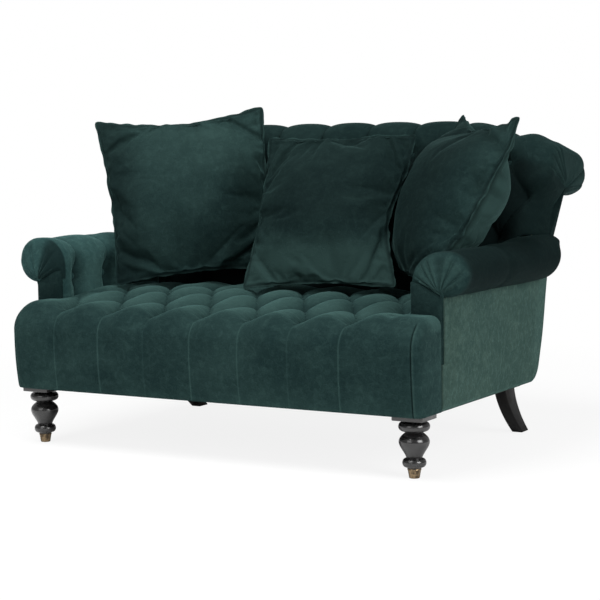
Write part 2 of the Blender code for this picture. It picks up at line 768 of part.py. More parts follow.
def make_rear_leg(name, side):
    """Sabre leg: square section swept backwards towards the floor."""
    place = rear_leg_place(side)
    top = LEG_HEIGHT - GAP
    steps = 8
    rings = []
    for i in range(steps + 1):
        z = top * (1 - i / steps)
        drop = 1 - z / top
        y = place.y + REAR_LEG_KICK * drop ** 1.7
        half = (REAR_LEG_TOP + (REAR_LEG_FOOT - REAR_LEG_TOP) * drop) / 2
        wide = REAR_LEG_WIDTH / 2
        edge = REAR_LEG_CHAMFER
        ring = [(-wide + edge, -half), (wide - edge, -half), (wide, -half + edge), (wide, half - edge),
                (wide - edge, half), (-wide + edge, half), (-wide, half - edge), (-wide, -half + edge)]
        rings.append([(place.x + dx, y + dy, z) for dx, dy in ring])
    return loft(name, rings, ebonised(name))


def make_dust_cover(low, rear):
    """Black cloth under the frame, cut out around the four legs."""
    half = X_FRAME - DUST_MARGIN
    y0 = Y_RAIL + DUST_MARGIN
    y1 = rear + RAIL_THICKNESS - DUST_MARGIN
    front = front_leg_place(1)
    fx = front.x - LEG_BLOCK / 2 - DUST_MARGIN
    fy = front.y + LEG_BLOCK / 2 + DUST_MARGIN
    place = rear_leg_place(1)
    rx = place.x - REAR_LEG_WIDTH / 2 - DUST_MARGIN
    ry = place.y - REAR_LEG_TOP / 2 - DUST_MARGIN
    outline = [(-fx, y0), (fx, y0), (fx, fy), (half, fy), (half, ry), (rx, ry), (rx, y1),
               (-rx, y1), (-rx, ry), (-half, ry), (-half, fy), (-fx, fy)]
    cloth = material("dust_cover_cloth", (0.01, 0.01, 0.01), 0.95)
    return prism("dust_cover", outline, "z", low - DUST_CLOTH, low, cloth)


def make_seat_webbing(front, rear):
    """Straps sewn where they cross, tacked under the rails."""
    y0 = front - RAIL_THICKNESS + STRAP_TACK
    y1 = rear + RAIL_THICKNESS - STRAP_TACK
    clear = front_leg_place(1).x - LEG_BLOCK / 2 - STRAP_WIDTH
    low = Z_STRAP - STRAP
    bm = bmesh.new()
    for k in range(SEAT_STRAPS):
        x = (2 * k / (SEAT_STRAPS - 1) - 1) * (clear - STRAP_WIDTH / 2)
        add_box(bm, (x - STRAP_WIDTH / 2, y0, low), (x + STRAP_WIDTH / 2, y1, Z_STRAP))
    webbing = finish("seat_webbing", bm, jute("seat_webbing"))
    half = X_FRAME - STRAP_TACK
    first = front_leg_place(1).y + LEG_BLOCK / 2 + STRAP_WIDTH
    last = rear_leg_place(1).y - REAR_LEG_TOP / 2 - STRAP_WIDTH
    bm = bmesh.new()
    for k in range(CROSS_STRAPS):
        y = first + (last - first) * k / (CROSS_STRAPS - 1)
        first_corner = (-half, y - STRAP_WIDTH / 2, low - STRAP / 2)
        add_box(bm, first_corner, (half, y + STRAP_WIDTH / 2, Z_STRAP - STRAP / 4))
    cut(webbing, finish("cross_straps", bm, jute("cross_straps")), "UNION")
    return low - STRAP / 2 - GAP


def make_spring(name, centre):
    """One waisted coil standing on the straps, as one unbroken tube."""
    per_turn = 9
    total = SPRING_TURNS * per_turn
    low = centre.z + SPRING_WIRE
    height = SPRING_HEIGHT - 2 * SPRING_WIRE
    rings = []
    for i in range(total + 1):
        share = i / total
        angle = 2 * math.pi * SPRING_TURNS * share
        radius = SPRING_WAIST + (SPRING_RADIUS - SPRING_WAIST) * abs(2 * share - 1) ** 1.5
        out = Vector((math.cos(angle), math.sin(angle), 0))
        heart = Vector((centre.x, centre.y, low + height * share)) + out * radius
        ring = []
        for k in range(4):
            turn = math.pi / 2 * k
            rise = Vector((0, 0, SPRING_WIRE * math.sin(turn)))
            ring.append(heart + out * SPRING_WIRE * math.cos(turn) + rise)
        rings.append(ring)
    return loft(name, rings, steel(name))


def make_springs(front, rear):
    clear = front_leg_place(1).x - LEG_BLOCK / 2 - STRAP_WIDTH
    wide = clear - STRAP_WIDTH / 2
    deep = (rear - front) / 2 - SPRING_RADIUS - BLOCK_LEG
    middle = (front + rear) / 2
    count = 1
    for row in (-1, 1):
        for column in range(SPRING_COLUMNS):
            x = (2 * column / (SPRING_COLUMNS - 1) - 1) * wide
            centre = Vector((x, middle + row * deep * SPRING_ROW_SHARE, Z_SPRING))
            make_spring("seat_spring_%d" % count, centre)
            count += 1


def make_canvas(front):
    half = X_POST - CANVAS_MARGIN
    y0 = front - RAIL_THICKNESS
    y1 = frame_back_y(Z_CANVAS) - CANVAS_MARGIN
    low = (-half, y0, Z_CANVAS)
    high = (half, y1, Z_CANVAS + CANVAS)
    box("spring_canvas", low, high, jute("spring_canvas"))


def raked(z, depth):
    """Corner of a raked frame piece: distance in front of the outside back panel."""
    return (outer_back_y(z) - (PANEL + GAP + depth) / math.cos(BACK_RAKE), z)


def raked_bar(name, low, high, half, centre=0.0):
    outline = [raked(low, POST_THICKNESS), raked(low, 0), raked(high, 0), raked(high, POST_THICKNESS)]
    return prism(name, outline, "x", centre - half, centre + half, beech(name))


def make_back_frame():
    top = BACK_ROLL_BASE - CREST_RAIL_DROP
    mid = (X_POST + X_FRAME) / 2
    for name, side in (("left", -1), ("right", 1)):
        raked_bar(name + "_back_post", Z_RAIL + GAP, top, ARM_POST_WIDTH / 2, side * mid)
    half = X_POST - GAP
    raked_bar("back_crest_rail", top - BACK_RAIL_HEIGHT, top, half)
    stay = Z_RAIL + STAY_RAIL_LIFT
    raked_bar("back_stay_rail", stay, stay + BACK_RAIL_HEIGHT, half)
    return stay, top


def strap_outline(low, high, front):
    return [raked(low, front + STRAP), raked(low, front), raked(high, front), raked(high, front + STRAP)]


def make_back_webbing(low, high):
    """Upright straps on the front of the back rails, sewn to two level ones."""
    front = POST_THICKNESS + GAP
    base = max(low, Z_PAD + STRAP)
    bm = bmesh.new()
    for k in range(BACK_STRAPS):
        x = (2 * k / (BACK_STRAPS - 1) - 1) * (X_POST - STRAP_WIDTH - STRAP_TACK)
        upright = strap_outline(base, high - STRAP_TACK, front)
        add_prism(bm, upright, "x", x - STRAP_WIDTH / 2, x + STRAP_WIDTH / 2)
    webbing = finish("back_webbing", bm, jute("back_webbing"))
    half = X_POST - STRAP_TACK
    middle = (base + high) / 2
    level = strap_outline(middle, middle + STRAP_WIDTH, front - STRAP / 3)
    cut(webbing, prism("level_strap", level, "x", -half, half, jute("level_strap")), "UNION")


def make_arm_frame(name, side):
    edge = (side * X_POST, side * X_FRAME)
    low = ARM_TOP - ROLL_STUFFING - ARM_RAIL_HEIGHT
    high = ARM_TOP - ROLL_STUFFING
    rear = outer_back_y(low) - (PANEL + POST_THICKNESS + 2 * GAP) / math.cos(BACK_RAKE)
    rail = name + "_arm_rail"
    first = (min(edge), Y_ARM + ARM_END_ROUND + EDGE_BREAK, low)
    box(rail, first, (max(edge), rear, high), beech(rail), EDGE_BREAK)
    post = name + "_arm_post"
    first = (min(edge), Y_ARM, Z_RAIL + GAP)
    box(post, first, (max(edge), Y_ARM + ARM_POST_DEPTH, low - GAP), beech(post), EDGE_BREAK)


def cushion_shape(size):
    """Knife-edge cushion standing on its lower edge: crown, drawn-in sides and pointed corners."""
    bm = bmesh.new()
    bmesh.ops.create_grid(bm, x_segments=CUSHION_STEPS, y_segments=CUSHION_STEPS, size=1.0)
    grown = bmesh.ops.extrude_face_region(bm, geom=bm.faces[:])["geom"]
    rear = {item for item in grown if isinstance(item, bmesh.types.BMVert)}
    half = size / 2
    for vert in bm.verts:
        u, v = [math.copysign(1 - max(1 - abs(c), 0.0) ** 1.25, c) for c in vert.co.xy]
        swell = max((1 - u * u) * (1 - v * v), 0.0) ** 0.5
        depth = CUSHION_EDGE / 2 + (CUSHION_THICK - CUSHION_EDGE) / 2 * swell
        x = half * u * (1 - CUSHION_DRAW * (1 - v * v) * u * u)
        z = half * v * (1 - CUSHION_DRAW * (1 - u * u) * v * v)
        vert.co = (x, depth if vert in rear else -depth, z)
    bmesh.ops.triangulate(bm, faces=bm.faces[:])
    bm.verts.index_update()
    return bm


def make_cushion(name, size, place, turns, trees):
    """Pushes a cushion back until it leans, then sets it down on the seat along the back's rake."""
    x, forward = place
    turn, lean, tilt = turns
    bm = cushion_shape(size)
    stand = Matrix.Rotation(turn, 4, "Z") @ Matrix.Rotation(-lean, 4, "X")
    bm.transform(stand @ Matrix.Rotation(tilt, 4, "Y"))
    shape = [vert.co.copy() for vert in bm.verts]
    faces = [[vert.index for vert in face.verts] for face in bm.faces]
    centre = Vector((x, Y_FRONT, SEAT_TOP + CUSHION_LIFT)) + stand @ Vector((0, 0, size / 2))
    back = Vector((0, 1, 0))
    way = travel_to_touch([centre + v for v in shape], faces, trees, back, DEPTH)
    centre += back * (way - forward)
    down = -Vector((0, math.sin(BACK_RAKE), math.cos(BACK_RAKE)))
    way = travel_to_touch([centre + v for v in shape], faces, trees, down, 4 * CUSHION_LIFT)
    piece = finish(name, bm, velvet(name))
    piece.location = centre + down * way
    return piece


def make_cushions(pads):
    """Three loose cushions; the middle one is set last, against the other two."""
    trees = [tree_of(pad) for pad in pads]
    left = (LEFT_TURN, LEFT_LEAN, LEFT_TILT)
    right = (RIGHT_TURN, RIGHT_LEAN, RIGHT_TILT)
    middle = (MIDDLE_TURN, MIDDLE_LEAN, MIDDLE_TILT)
    rows = (("left_cushion", LEFT_SIZE, (LEFT_FROM_ARM - X_INSIDE, 0.0), left),
            ("right_cushion", RIGHT_SIZE, (X_INSIDE - RIGHT_FROM_ARM, 0.0), right),
            ("middle_cushion", MIDDLE_SIZE, (MIDDLE_X, MIDDLE_FORWARD), middle))
    for row in rows:
        trees.append(tree_of(make_cushion(*row, trees)))


def build():
    clear_scene()
    rail_rear, front, rear = make_rails()
    stay, top = make_back_frame()
    make_back_webbing(stay, top)
    low = make_seat_webbing(front, rear)
    make_dust_cover(low, rear)
    make_springs(front, rear)
    make_canvas(front)
    pads = [make_seat_pad(), make_back_pad()]
    for name, side in (("left", -1), ("right", 1)):
        make_arm_frame(name, side)
        pads.append(make_arm_pad(name + "_arm_pad", side))
        make_arm_facing(name + "_arm_facing", side)
        make_outside_arm(name + "_outside_arm", side)
        block = make_corner_block("front_" + name + "_block", side, front + GAP, 1)
        make_corner_block("rear_" + name + "_block", side, rear - GAP, -1)
        leg = make_front_leg("front_" + name + "_leg", side)
        make_cup("front_" + name + "_cup", side)
        make_bolt("front_" + name + "_bolt", front_leg_place(side), leg, block)
        leg = make_rear_leg("rear_" + name + "_leg", side)
        make_bolt("rear_" + name + "_bolt", rear_leg_place(side), leg, rail_rear)
    make_outside_back()
    make_cushions(pads)


build()
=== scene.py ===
import math

import bmesh
import bpy
from mathutils.bvhtree import BVHTree
from mathutils import Matrix, Vector, noise


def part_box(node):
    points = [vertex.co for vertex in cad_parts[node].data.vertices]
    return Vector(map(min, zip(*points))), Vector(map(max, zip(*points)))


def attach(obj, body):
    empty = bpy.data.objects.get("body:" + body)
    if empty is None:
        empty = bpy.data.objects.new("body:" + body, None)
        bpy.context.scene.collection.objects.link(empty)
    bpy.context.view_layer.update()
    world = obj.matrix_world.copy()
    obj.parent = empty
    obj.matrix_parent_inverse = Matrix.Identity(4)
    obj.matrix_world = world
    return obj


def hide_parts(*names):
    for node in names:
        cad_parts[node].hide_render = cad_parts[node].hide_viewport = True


# deep-buttoned velvet sofa, metres, front towards -Y, left is -X
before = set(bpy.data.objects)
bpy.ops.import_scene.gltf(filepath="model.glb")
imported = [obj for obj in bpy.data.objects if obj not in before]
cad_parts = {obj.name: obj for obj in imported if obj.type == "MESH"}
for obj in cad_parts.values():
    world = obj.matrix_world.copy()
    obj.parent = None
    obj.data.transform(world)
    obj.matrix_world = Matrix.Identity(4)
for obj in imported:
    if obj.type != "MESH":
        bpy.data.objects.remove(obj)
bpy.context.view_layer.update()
print("frame loaded:", len(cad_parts), "nodes")

body = "sofa"
backLean = math.radians(19.0)
rake = math.tan(backLean)
shape = {"front": -0.555, "inside": 0.565, "frameSide": 0.643, "side": 0.655, "armFront": -0.408,
         "armTop": 0.588, "padBase": 0.2886, "legTop": 0.1663, "railFace": -0.5083,
         "rollBase": 0.46, "outerFoot": (0.21, 0.166), "insideFoot": (0.115, 0.448),
         "backDepth": 0.0581}
# gap left where pieces meet
hair = 0.0006


def leaningY(z, foot):
    return foot[0] + (z - foot[1]) * rake


def outerBackY(z):
    return leaningY(z, shape["outerFoot"])


def insideBackY(z):
    return leaningY(z, shape["insideFoot"])


def frameBackY(z):
    return outerBackY(z) - shape["backDepth"]


def ease(value):
    t = min(max(value, 0.0), 1.0)
    return t * t * (3 - 2 * t)


def bell(value, width):
    return math.exp(-(value / width) ** 2)


def blend(first, last, share):
    return first + (last - first) * share


def bothSides(distance, steps):
    return [side * (distance + step) for side in (-1, 1) for step in steps]


# camera at the photograph's place
view = {"place": (2.45413, -4.22555, 0.84489), "lens": 99.368,
        "yaw": 30.1829, "pitch": 5.2425, "roll": -0.7015}


def setCamera():
    yaw, pitch, roll = (math.radians(view[k]) for k in ("yaw", "pitch", "roll"))
    level = math.cos(pitch)
    ahead = Vector((-math.sin(yaw) * level, math.cos(yaw) * level, -math.sin(pitch)))
    right = Vector((math.cos(yaw), math.sin(yaw), 0))
    up = right.cross(ahead)
    side = right * math.cos(roll) + up * math.sin(roll)
    top = -right * math.sin(roll) + up * math.cos(roll)
    data = bpy.data.cameras.new("photoCamera")
    data.sensor_width = 36.0
    data.lens = view["lens"]
    eye = bpy.data.objects.new("photoCamera", data)
    turn = Matrix((side, top, -ahead)).transposed().to_4x4()
    eye.matrix_world = Matrix.Translation(view["place"]) @ turn
    bpy.context.collection.objects.link(eye)
    bpy.context.scene.camera = eye


# studio: a large soft lamp to the right of the camera, a weak one in front, one above, pale floor
studio = {"worldLight": 0.36, "floorColour": (0.86, 0.86, 0.86, 1), "floorSize": 60.0,
          "floorNear": (0.9, 0.86), "floorFar": (2.6, 1.0),
          "lamps": (("keyLamp", (4.6, -1.6, 2.3), (0.1, -0.1, 0.45), 2.6, 170.0),
                    ("frontLamp", (-0.6, -5.2, 2.6), (0.0, 0.0, 0.35), 3.0, 55.0),
                    ("topLamp", (-0.5, -1.6, 4.0), (0.0, -0.2, 0.4), 2.4, 170.0))}


def setStudio():
    scene = bpy.context.scene
    scene.view_settings.view_transform = "Standard"
    world = bpy.data.worlds.new("studioWorld")
    scene.world = world
    world.use_nodes = True
    tree = world.node_tree
    tree.nodes.clear()
    skies = []
    for strength in (studio["worldLight"], 1.0):
        sky = tree.nodes.new("ShaderNodeBackground")
        setInputs(sky, {"Color": (1, 1, 1, 1), "Strength": strength})
        skies.append(sky.outputs[0])
    mixShaders(tree, seenByEye(tree), *skies, tree.nodes.new("ShaderNodeOutputWorld"))
    for name, place, aim, size, power in studio["lamps"]:
        data = bpy.data.lights.new(name, "AREA")
        data.energy = power
        data.size = size
        lamp = bpy.data.objects.new(name, data)
        lamp.location = place
        lamp.rotation_euler = (Vector(aim) - Vector(place)).to_track_quat("-Z", "Y").to_euler()
        bpy.context.collection.objects.link(lamp)
    clearSelection()
    bpy.ops.mesh.primitive_plane_add(size=studio["floorSize"], location=(0, 0, -0.0005))
    floor = bpy.context.object
    floor.name = "studioFloor"
    floor.data.materials.append(floorMaterial())


def clearSelection():
    if bpy.context.object and bpy.context.object.mode != "OBJECT":
        bpy.ops.object.mode_set(mode="OBJECT")
    bpy.ops.object.select_all(action="DESELECT")


# materials
def newMaterial(name):
    mat = bpy.data.materials.new(name)
    mat.use_nodes = True
    return mat, mat.node_tree, mat.node_tree.nodes["Principled BSDF"]


def setInputs(node, values):
    for label, value in values.items():
        node.inputs[label].default_value = value


def feed(tree, socket, value):
    if isinstance(value, (int, float, tuple)):
        socket.default_value = value
    else:
        tree.links.new(value, socket)


def objectPlace(tree):
    return tree.nodes.new("ShaderNodeTexCoord").outputs["Object"]


def seenByEye(tree):
    # one where the camera looks, straight or through something clear
    path = tree.nodes.new("ShaderNodeLightPath").outputs
    return addMath(tree, "MAXIMUM", path["Is Camera Ray"], path["Is Transmission Ray"])


def mixShaders(tree, share, first, second, end):
    mix = tree.nodes.new("ShaderNodeMixShader")
    for socket, value in zip(mix.inputs, (share, first, second)):
        tree.links.new(value, socket)
    tree.links.new(mix.outputs[0], end.inputs["Surface"])


def floorMaterial():
    # matt floor that fades to white further out
    mat, tree, shader = newMaterial("paleFloor")
    matt = {"Base Color": studio["floorColour"], "Roughness": 0.9, "Specular IOR Level": 0.0}
    setInputs(shader, matt)
    glow = tree.nodes.new("ShaderNodeEmission")
    reach = tree.nodes.new("ShaderNodeVectorMath")
    reach.operation = "LENGTH"
    tree.links.new(objectPlace(tree), reach.inputs[0])
    (near, nearShare), (far, farShare) = studio["floorNear"], studio["floorFar"]
    glowShare = addRange(tree, reach.outputs["Value"], near, far, nearShare, farShare)
    share = addMath(tree, "MULTIPLY", seenByEye(tree), glowShare)
    mixShaders(tree, share, shader.outputs[0], glow.outputs[0], tree.nodes["Material Output"])
    return mat


def newGroup(name, wanted, second):
    # node group that gives a colour and one more value
    tree = bpy.data.node_groups.new(name, "ShaderNodeTree")
    for label, value in wanted.items():
        kind = "NodeSocketColor" if isinstance(value, tuple) else "NodeSocketFloat"
        tree.interface.new_socket(label, in_out="INPUT", socket_type=kind).default_value = value
    for label, kind in (("Colour", "NodeSocketColor"), (second, "NodeSocketFloat")):
        tree.interface.new_socket(label, in_out="OUTPUT", socket_type=kind)
    begin, end = tree.nodes.new("NodeGroupInput"), tree.nodes.new("NodeGroupOutput")
    return tree, begin.outputs, end.inputs


def addNoise(tree, place, scale, detail, roughness, bend=0.0, stretch=None):
    if stretch:
        mapping = tree.nodes.new("ShaderNodeMapping")
        mapping.inputs["Scale"].default_value = stretch
        tree.links.new(place, mapping.inputs["Vector"])
        place = mapping.outputs["Vector"]
    cloud = tree.nodes.new("ShaderNodeTexNoise")
    setInputs(cloud, {"Detail": detail, "Roughness": roughness, "Distortion": bend})
    feed(tree, cloud.inputs["Scale"], scale)
    tree.links.new(place, cloud.inputs["Vector"])
    return cloud.outputs["Fac"]


def addMath(tree, operation, *values):
    step = tree.nodes.new("ShaderNodeMath")
    step.operation = operation
    for socket, value in zip(step.inputs, values):
        feed(tree, socket, value)
    return step.outputs[0]


def addSum(tree, *terms, start=0.0):
    total = start
    for value, weight in terms:
        total = addMath(tree, "MULTIPLY_ADD", value, weight, total)
    return total


def addRange(tree, value, low, high, first=0.0, last=1.0):
    step = tree.nodes.new("ShaderNodeMapRange")
    step.interpolation_type = "SMOOTHSTEP"
    setInputs(step, {"From Min": low, "From Max": high, "To Min": first, "To Max": last})
    tree.links.new(value, step.inputs["Value"])
    return step.outputs["Result"]


def addMix(tree, share, first, second):
    # sockets 6, 7 and 2 are the colour ones
    step = tree.nodes.new("ShaderNodeMix")
    step.data_type = "RGBA"
    for index, value in ((0, share), (6, first), (7, second)):
        feed(tree, step.inputs[index], value)
    return step.outputs[2]


def addMark(tree, label):
    mark = tree.nodes.new("ShaderNodeAttribute")
    mark.attribute_name = label
    return mark.outputs["Fac"]


def napGroup():
    # pile that lies one way or the other: broad patches, brush strokes, crushed spots and fibre,
    # plus each piece's painted light and painted shade
    wanted = {label: (*colour, 1) for label, colour in velvetColours.items()}
    tree, begin, end = newGroup("velvetNap", {**wanted, "Patches": 0.5}, "Height")
    place = objectPlace(tree)
    broad = addRange(tree, addNoise(tree, place, 4.2, 3.0, 0.55, 0.5), 0.36, 0.66)
    strokes = addNoise(tree, place, 9.0, 4.0, 0.6, 0.8, (1.0, 1.0, 2.4))
    strokes = addRange(tree, strokes, 0.42, 0.72)
    crushed = addRange(tree, addNoise(tree, place, 58.0, 5.0, 0.7, 0.6), 0.42, 0.74)
    fibre = addNoise(tree, place, 300.0, 3.0, 0.65)
    blotch = addSum(tree, (broad, 0.55), (strokes, 0.35))
    blotch = addMath(tree, "MULTIPLY", blotch, begin["Patches"])
    # random nap patches plus the painted light mark of each piece
    napAndPaintedLight = addSum(tree, (blotch, 1.0), (crushed, 0.34), (fibre, 0.8),
                     (addMark(tree, "napAndPaintedLight"), 1.0), start=-0.4)
    light = tree.nodes.new("ShaderNodeClamp")
    tree.links.new(napAndPaintedLight, light.inputs["Value"])
    colour = addMix(tree, light.outputs[0], begin["Pile"], begin["BrushedAndLit"])
    # painted shade mark, mixed towards the dark pile colour
    colour = addMix(tree, addMark(tree, "paintedShade"), colour, begin["Deep"])
    tree.links.new(colour, end["Colour"])
    tree.links.new(addSum(tree, (fibre, 0.35), (crushed, 0.65)), end["Height"])
    return tree


# how light each piece looks, partly as its pile was brushed and partly as painted light and shade
# (lit and shaded copies of one velvet), how patchy and warm it is, and its sheen
velvetTones = {"seatPad": (0.84, 0.5, 0.0, 0.27), "backPad": (0.56, 0.4, 0.0, 0.12),
               "leftArm": (1.7, 0.3, 0.0, 0.45), "rightArm": (0.85, 0.4, 0.0, 0.04),
               "facing": (0.60, 0.4, 0.0, 0.16), "panel": (1.95, 0.25, 1.0, 0.57),
               "leftCushion": (0.66, 0.55, 0.0, 0.20), "middleCushion": (0.58, 0.55, 0.0, 0.16),
               "rightCushion": (0.64, 0.45, 0.0, 0.16)}
# pile colours: the darkest is painted shade for creases, hollows and shaded faces; the lightest is
# brushed pile and painted light
velvetColours = {"Deep": (0.0021, 0.0056, 0.0057), "Pile": (0.0076, 0.0208, 0.0208),
                 "BrushedAndLit": (0.0275, 0.0595, 0.0550)}
velvetFinish = {"Roughness": 0.82, "Specular IOR Level": 0.03, "Sheen Roughness": 0.34,
                "Sheen Tint": (0.24, 0.49, 0.46, 1)}
made = {}


def velvet(kind):
    if kind not in made:
        tone, patches, warm, sheen = velvetTones[kind]
        tint = (1 + 0.35 * warm, 1.0, 1 - 0.14 * warm)
        values = {label: (*[c * t * tone for c, t in zip(colour, tint)], 1)
                  for label, colour in velvetColours.items()}
        made[kind] = groupMaterial(kind + "Velvet", "nap", napGroup, {**values, "Patches": patches},
                                   {**velvetFinish, "Sheen Weight": sheen}, (0.5, 0.0016))
    return made[kind]


def groupMaterial(name, key, build, values, finish, bump=None):
    # material around a shared node group, which is built at its first use
    if key not in made:
        made[key] = build()
    mat, tree, shader = newMaterial(name)
    group = tree.nodes.new("ShaderNodeGroup")
    group.node_tree = made[key]
    setInputs(group, values)
    setInputs(shader, finish)
    tree.links.new(group.outputs["Colour"], shader.inputs["Base Color"])
    if bump:
        relief = tree.nodes.new("ShaderNodeBump")
        setInputs(relief, {"Strength": bump[0], "Distance": bump[1]})
        tree.links.new(group.outputs["Height"], relief.inputs["Height"])
        tree.links.new(relief.outputs["Normal"], shader.inputs["Normal"])
    else:
        tree.links.new(group.outputs["Roughness"], shader.inputs["Roughness"])
    return mat


def grainGroup():
    # lengthwise grain with darker pores
    wanted = {"Light": (0.5, 0.33, 0.18, 1), "Dark": (0.36, 0.21, 0.1, 1)}
    tree, begin, end = newGroup("woodGrain", wanted, "Height")
    place, along = objectPlace(tree), (1.0, 9.0, 9.0)
    bands = addRange(tree, addNoise(tree, place, 5.0, 6.0, 0.6, 0.9, along), 0.3, 0.7)
    pores = addRange(tree, addNoise(tree, place, 38.0, 3.0, 0.7, 0.0, along), 0.5, 0.72)
    share = addSum(tree, (bands, 0.7), (pores, 0.3))
    tree.links.new(addMix(tree, share, begin["Light"], begin["Dark"]), end["Colour"])
    tree.links.new(share, end["Height"])
    return tree


def weaveGroup():
    # two crossing sets of threads
    wanted = {"Thread": (0.42, 0.31, 0.19, 1), "Gap": (0.2, 0.13, 0.07, 1), "Count": 900.0}
    tree, begin, end = newGroup("threadWeave", wanted, "Height")
    place = objectPlace(tree)
    parts = tree.nodes.new("ShaderNodeSeparateXYZ")
    tree.links.new(place, parts.inputs[0])
    waves = []
    for axis in ("X", "Y"):
        angle = addMath(tree, "MULTIPLY", parts.outputs[axis], begin["Count"])
        waves.append(addMath(tree, "ABSOLUTE", addMath(tree, "SINE", angle)))
    over = addMath(tree, "MULTIPLY", *waves)
    share = addSum(tree, (over, 0.7), (addNoise(tree, place, 160.0, 3.0, 0.6), 0.4))
    tree.links.new(addMix(tree, share, begin["Gap"], begin["Thread"]), end["Colour"])
    tree.links.new(share, end["Height"])
    return tree


def wornGroup():
    # rubbed spots: brighter or duller than the rest
    wanted = {"Plain": (0.4, 0.28, 0.14, 1), "Rubbed": (0.2, 0.15, 0.1, 1), "Smooth": 0.3,
              "Dull": 0.55, "Size": 40.0}
    tree, begin, end = newGroup("rubbedSpots", wanted, "Roughness")
    spots = addNoise(tree, objectPlace(tree), begin["Size"], 5.0, 0.5)
    spots = addRange(tree, spots, 0.42, 0.66)
    tree.links.new(addMix(tree, spots, begin["Plain"], begin["Rubbed"]), end["Colour"])
    gap = addMath(tree, "SUBTRACT", begin["Dull"], begin["Smooth"])
    tree.links.new(addSum(tree, (spots, gap), start=begin["Smooth"]), end["Roughness"])
    return tree


# each rubbed finish: plain and rubbed colour, roughness of both, how fine the spots are, the rest
wornFinishes = (
    ("steel", "springSteel", (0.42, 0.42, 0.43), (0.26, 0.24, 0.22), (0.3, 0.55), 60.0,
     {"Metallic": 1.0}),
    ("brass", "agedBrass", (0.30, 0.22, 0.13), (0.10, 0.075, 0.05), (0.32, 0.6), 90.0,
     {"Metallic": 1.0}),
    ("blackWood", "blackLacquer", (0.0065, 0.0063, 0.0066), (0.009, 0.0088, 0.0085), (0.22, 0.32),
     14.0, {"Specular IOR Level": 0.5, "Coat Weight": 0.5, "Coat Roughness": 0.12}),
    ("satinWood", "blackSatin", (0.005, 0.005, 0.005), (0.008, 0.0075, 0.007), (0.45, 0.6), 26.0,
     {"Specular IOR Level": 0.15}))
dustThreads = {"Thread": (0.016, 0.016, 0.016, 1), "Gap": (0.004, 0.004, 0.004, 1), "Count": 1400.0}


def finishMaterials():
    for key, name, group, build, values, rough, relief in (
            ("beech", "beechFrame", "grain", grainGroup, {}, 0.6, 0.0006),
            ("jute", "juteWeave", "weave", weaveGroup, {}, 0.9, 0.0008),
            ("dustCloth", "dustCloth", "weave", weaveGroup, dustThreads, 0.95, 0.0005)):
        made[key] = groupMaterial(name, group, build, values, {"Roughness": rough}, (0.4, relief))
    for key, name, plain, worn, (smooth, dull), size, finish in wornFinishes:
        values = {"Plain": (*plain, 1), "Rubbed": (*worn, 1), "Smooth": smooth, "Dull": dull,
                  "Size": size}
        made[key] = groupMaterial(name, "worn", wornGroup, values, finish)


# padded pieces: a point is x, y, z, how much painted shade darkens it and how much painted light
# and brushed pile lighten it
def sewPad(name, rings, sharp=55.0):
    # closed loops sewn one to the next, the two ends closed
    count = len(rings[0])
    points = [point for ring in rings for point in ring]
    faces = []
    for i in range(len(rings) - 1):
        for j in range(count):
            a, b = i * count + j, i * count + (j + 1) % count
            faces.append((a, b, b + count, a + count))
    last = len(points) - count
    faces += [tuple(range(count)), tuple(range(last, last + count))]
    mesh = bpy.data.meshes.new(name)
    mesh.from_pydata([p[:3] for p in points], [], faces)
    setMarks(mesh, [p[3] for p in points], [p[4] for p in points])
    return closeMesh(name, mesh, sharp)


def setMarks(mesh, paintedShade, light):
    # stores the painted shade and painted light of each point
    for label, values in (("paintedShade", paintedShade), ("napAndPaintedLight", light)):
        mesh.attributes.new(label, "FLOAT", "POINT").data.foreach_set("value", values)


def closeMesh(name, mesh, sharp):
    bm = bmesh.new()
    bm.from_mesh(mesh)
    bmesh.ops.remove_doubles(bm, verts=bm.verts, dist=0.00002)
    bmesh.ops.recalc_face_normals(bm, faces=bm.faces)
    bm.to_mesh(mesh)
    bm.free()
    mesh.shade_smooth()
    mesh.set_sharp_from_angle(angle=math.radians(sharp))
    piece = bpy.data.objects.new(name, mesh)
    bpy.context.collection.objects.link(piece)
    return piece


def dress(piece, mat, nodes=(), rider=body):
    piece.data.materials.clear()
    piece.data.materials.append(mat)
    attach(piece, rider)
    if nodes:
        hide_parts(*nodes)


def applyStep(piece, kind, **settings):
    clearSelection()
    piece.select_set(True)
    bpy.context.view_layer.objects.active = piece
    step = piece.modifiers.new(kind.lower(), kind)
    for key, value in settings.items():
        setattr(step, key, value)
    bpy.ops.object.modifier_apply(modifier=step.name)


def arch(share):
    a = min(max(share, 0.0), 1.0)
    return (1 - (1 - a) ** 2.2) ** (1 / 2.2)


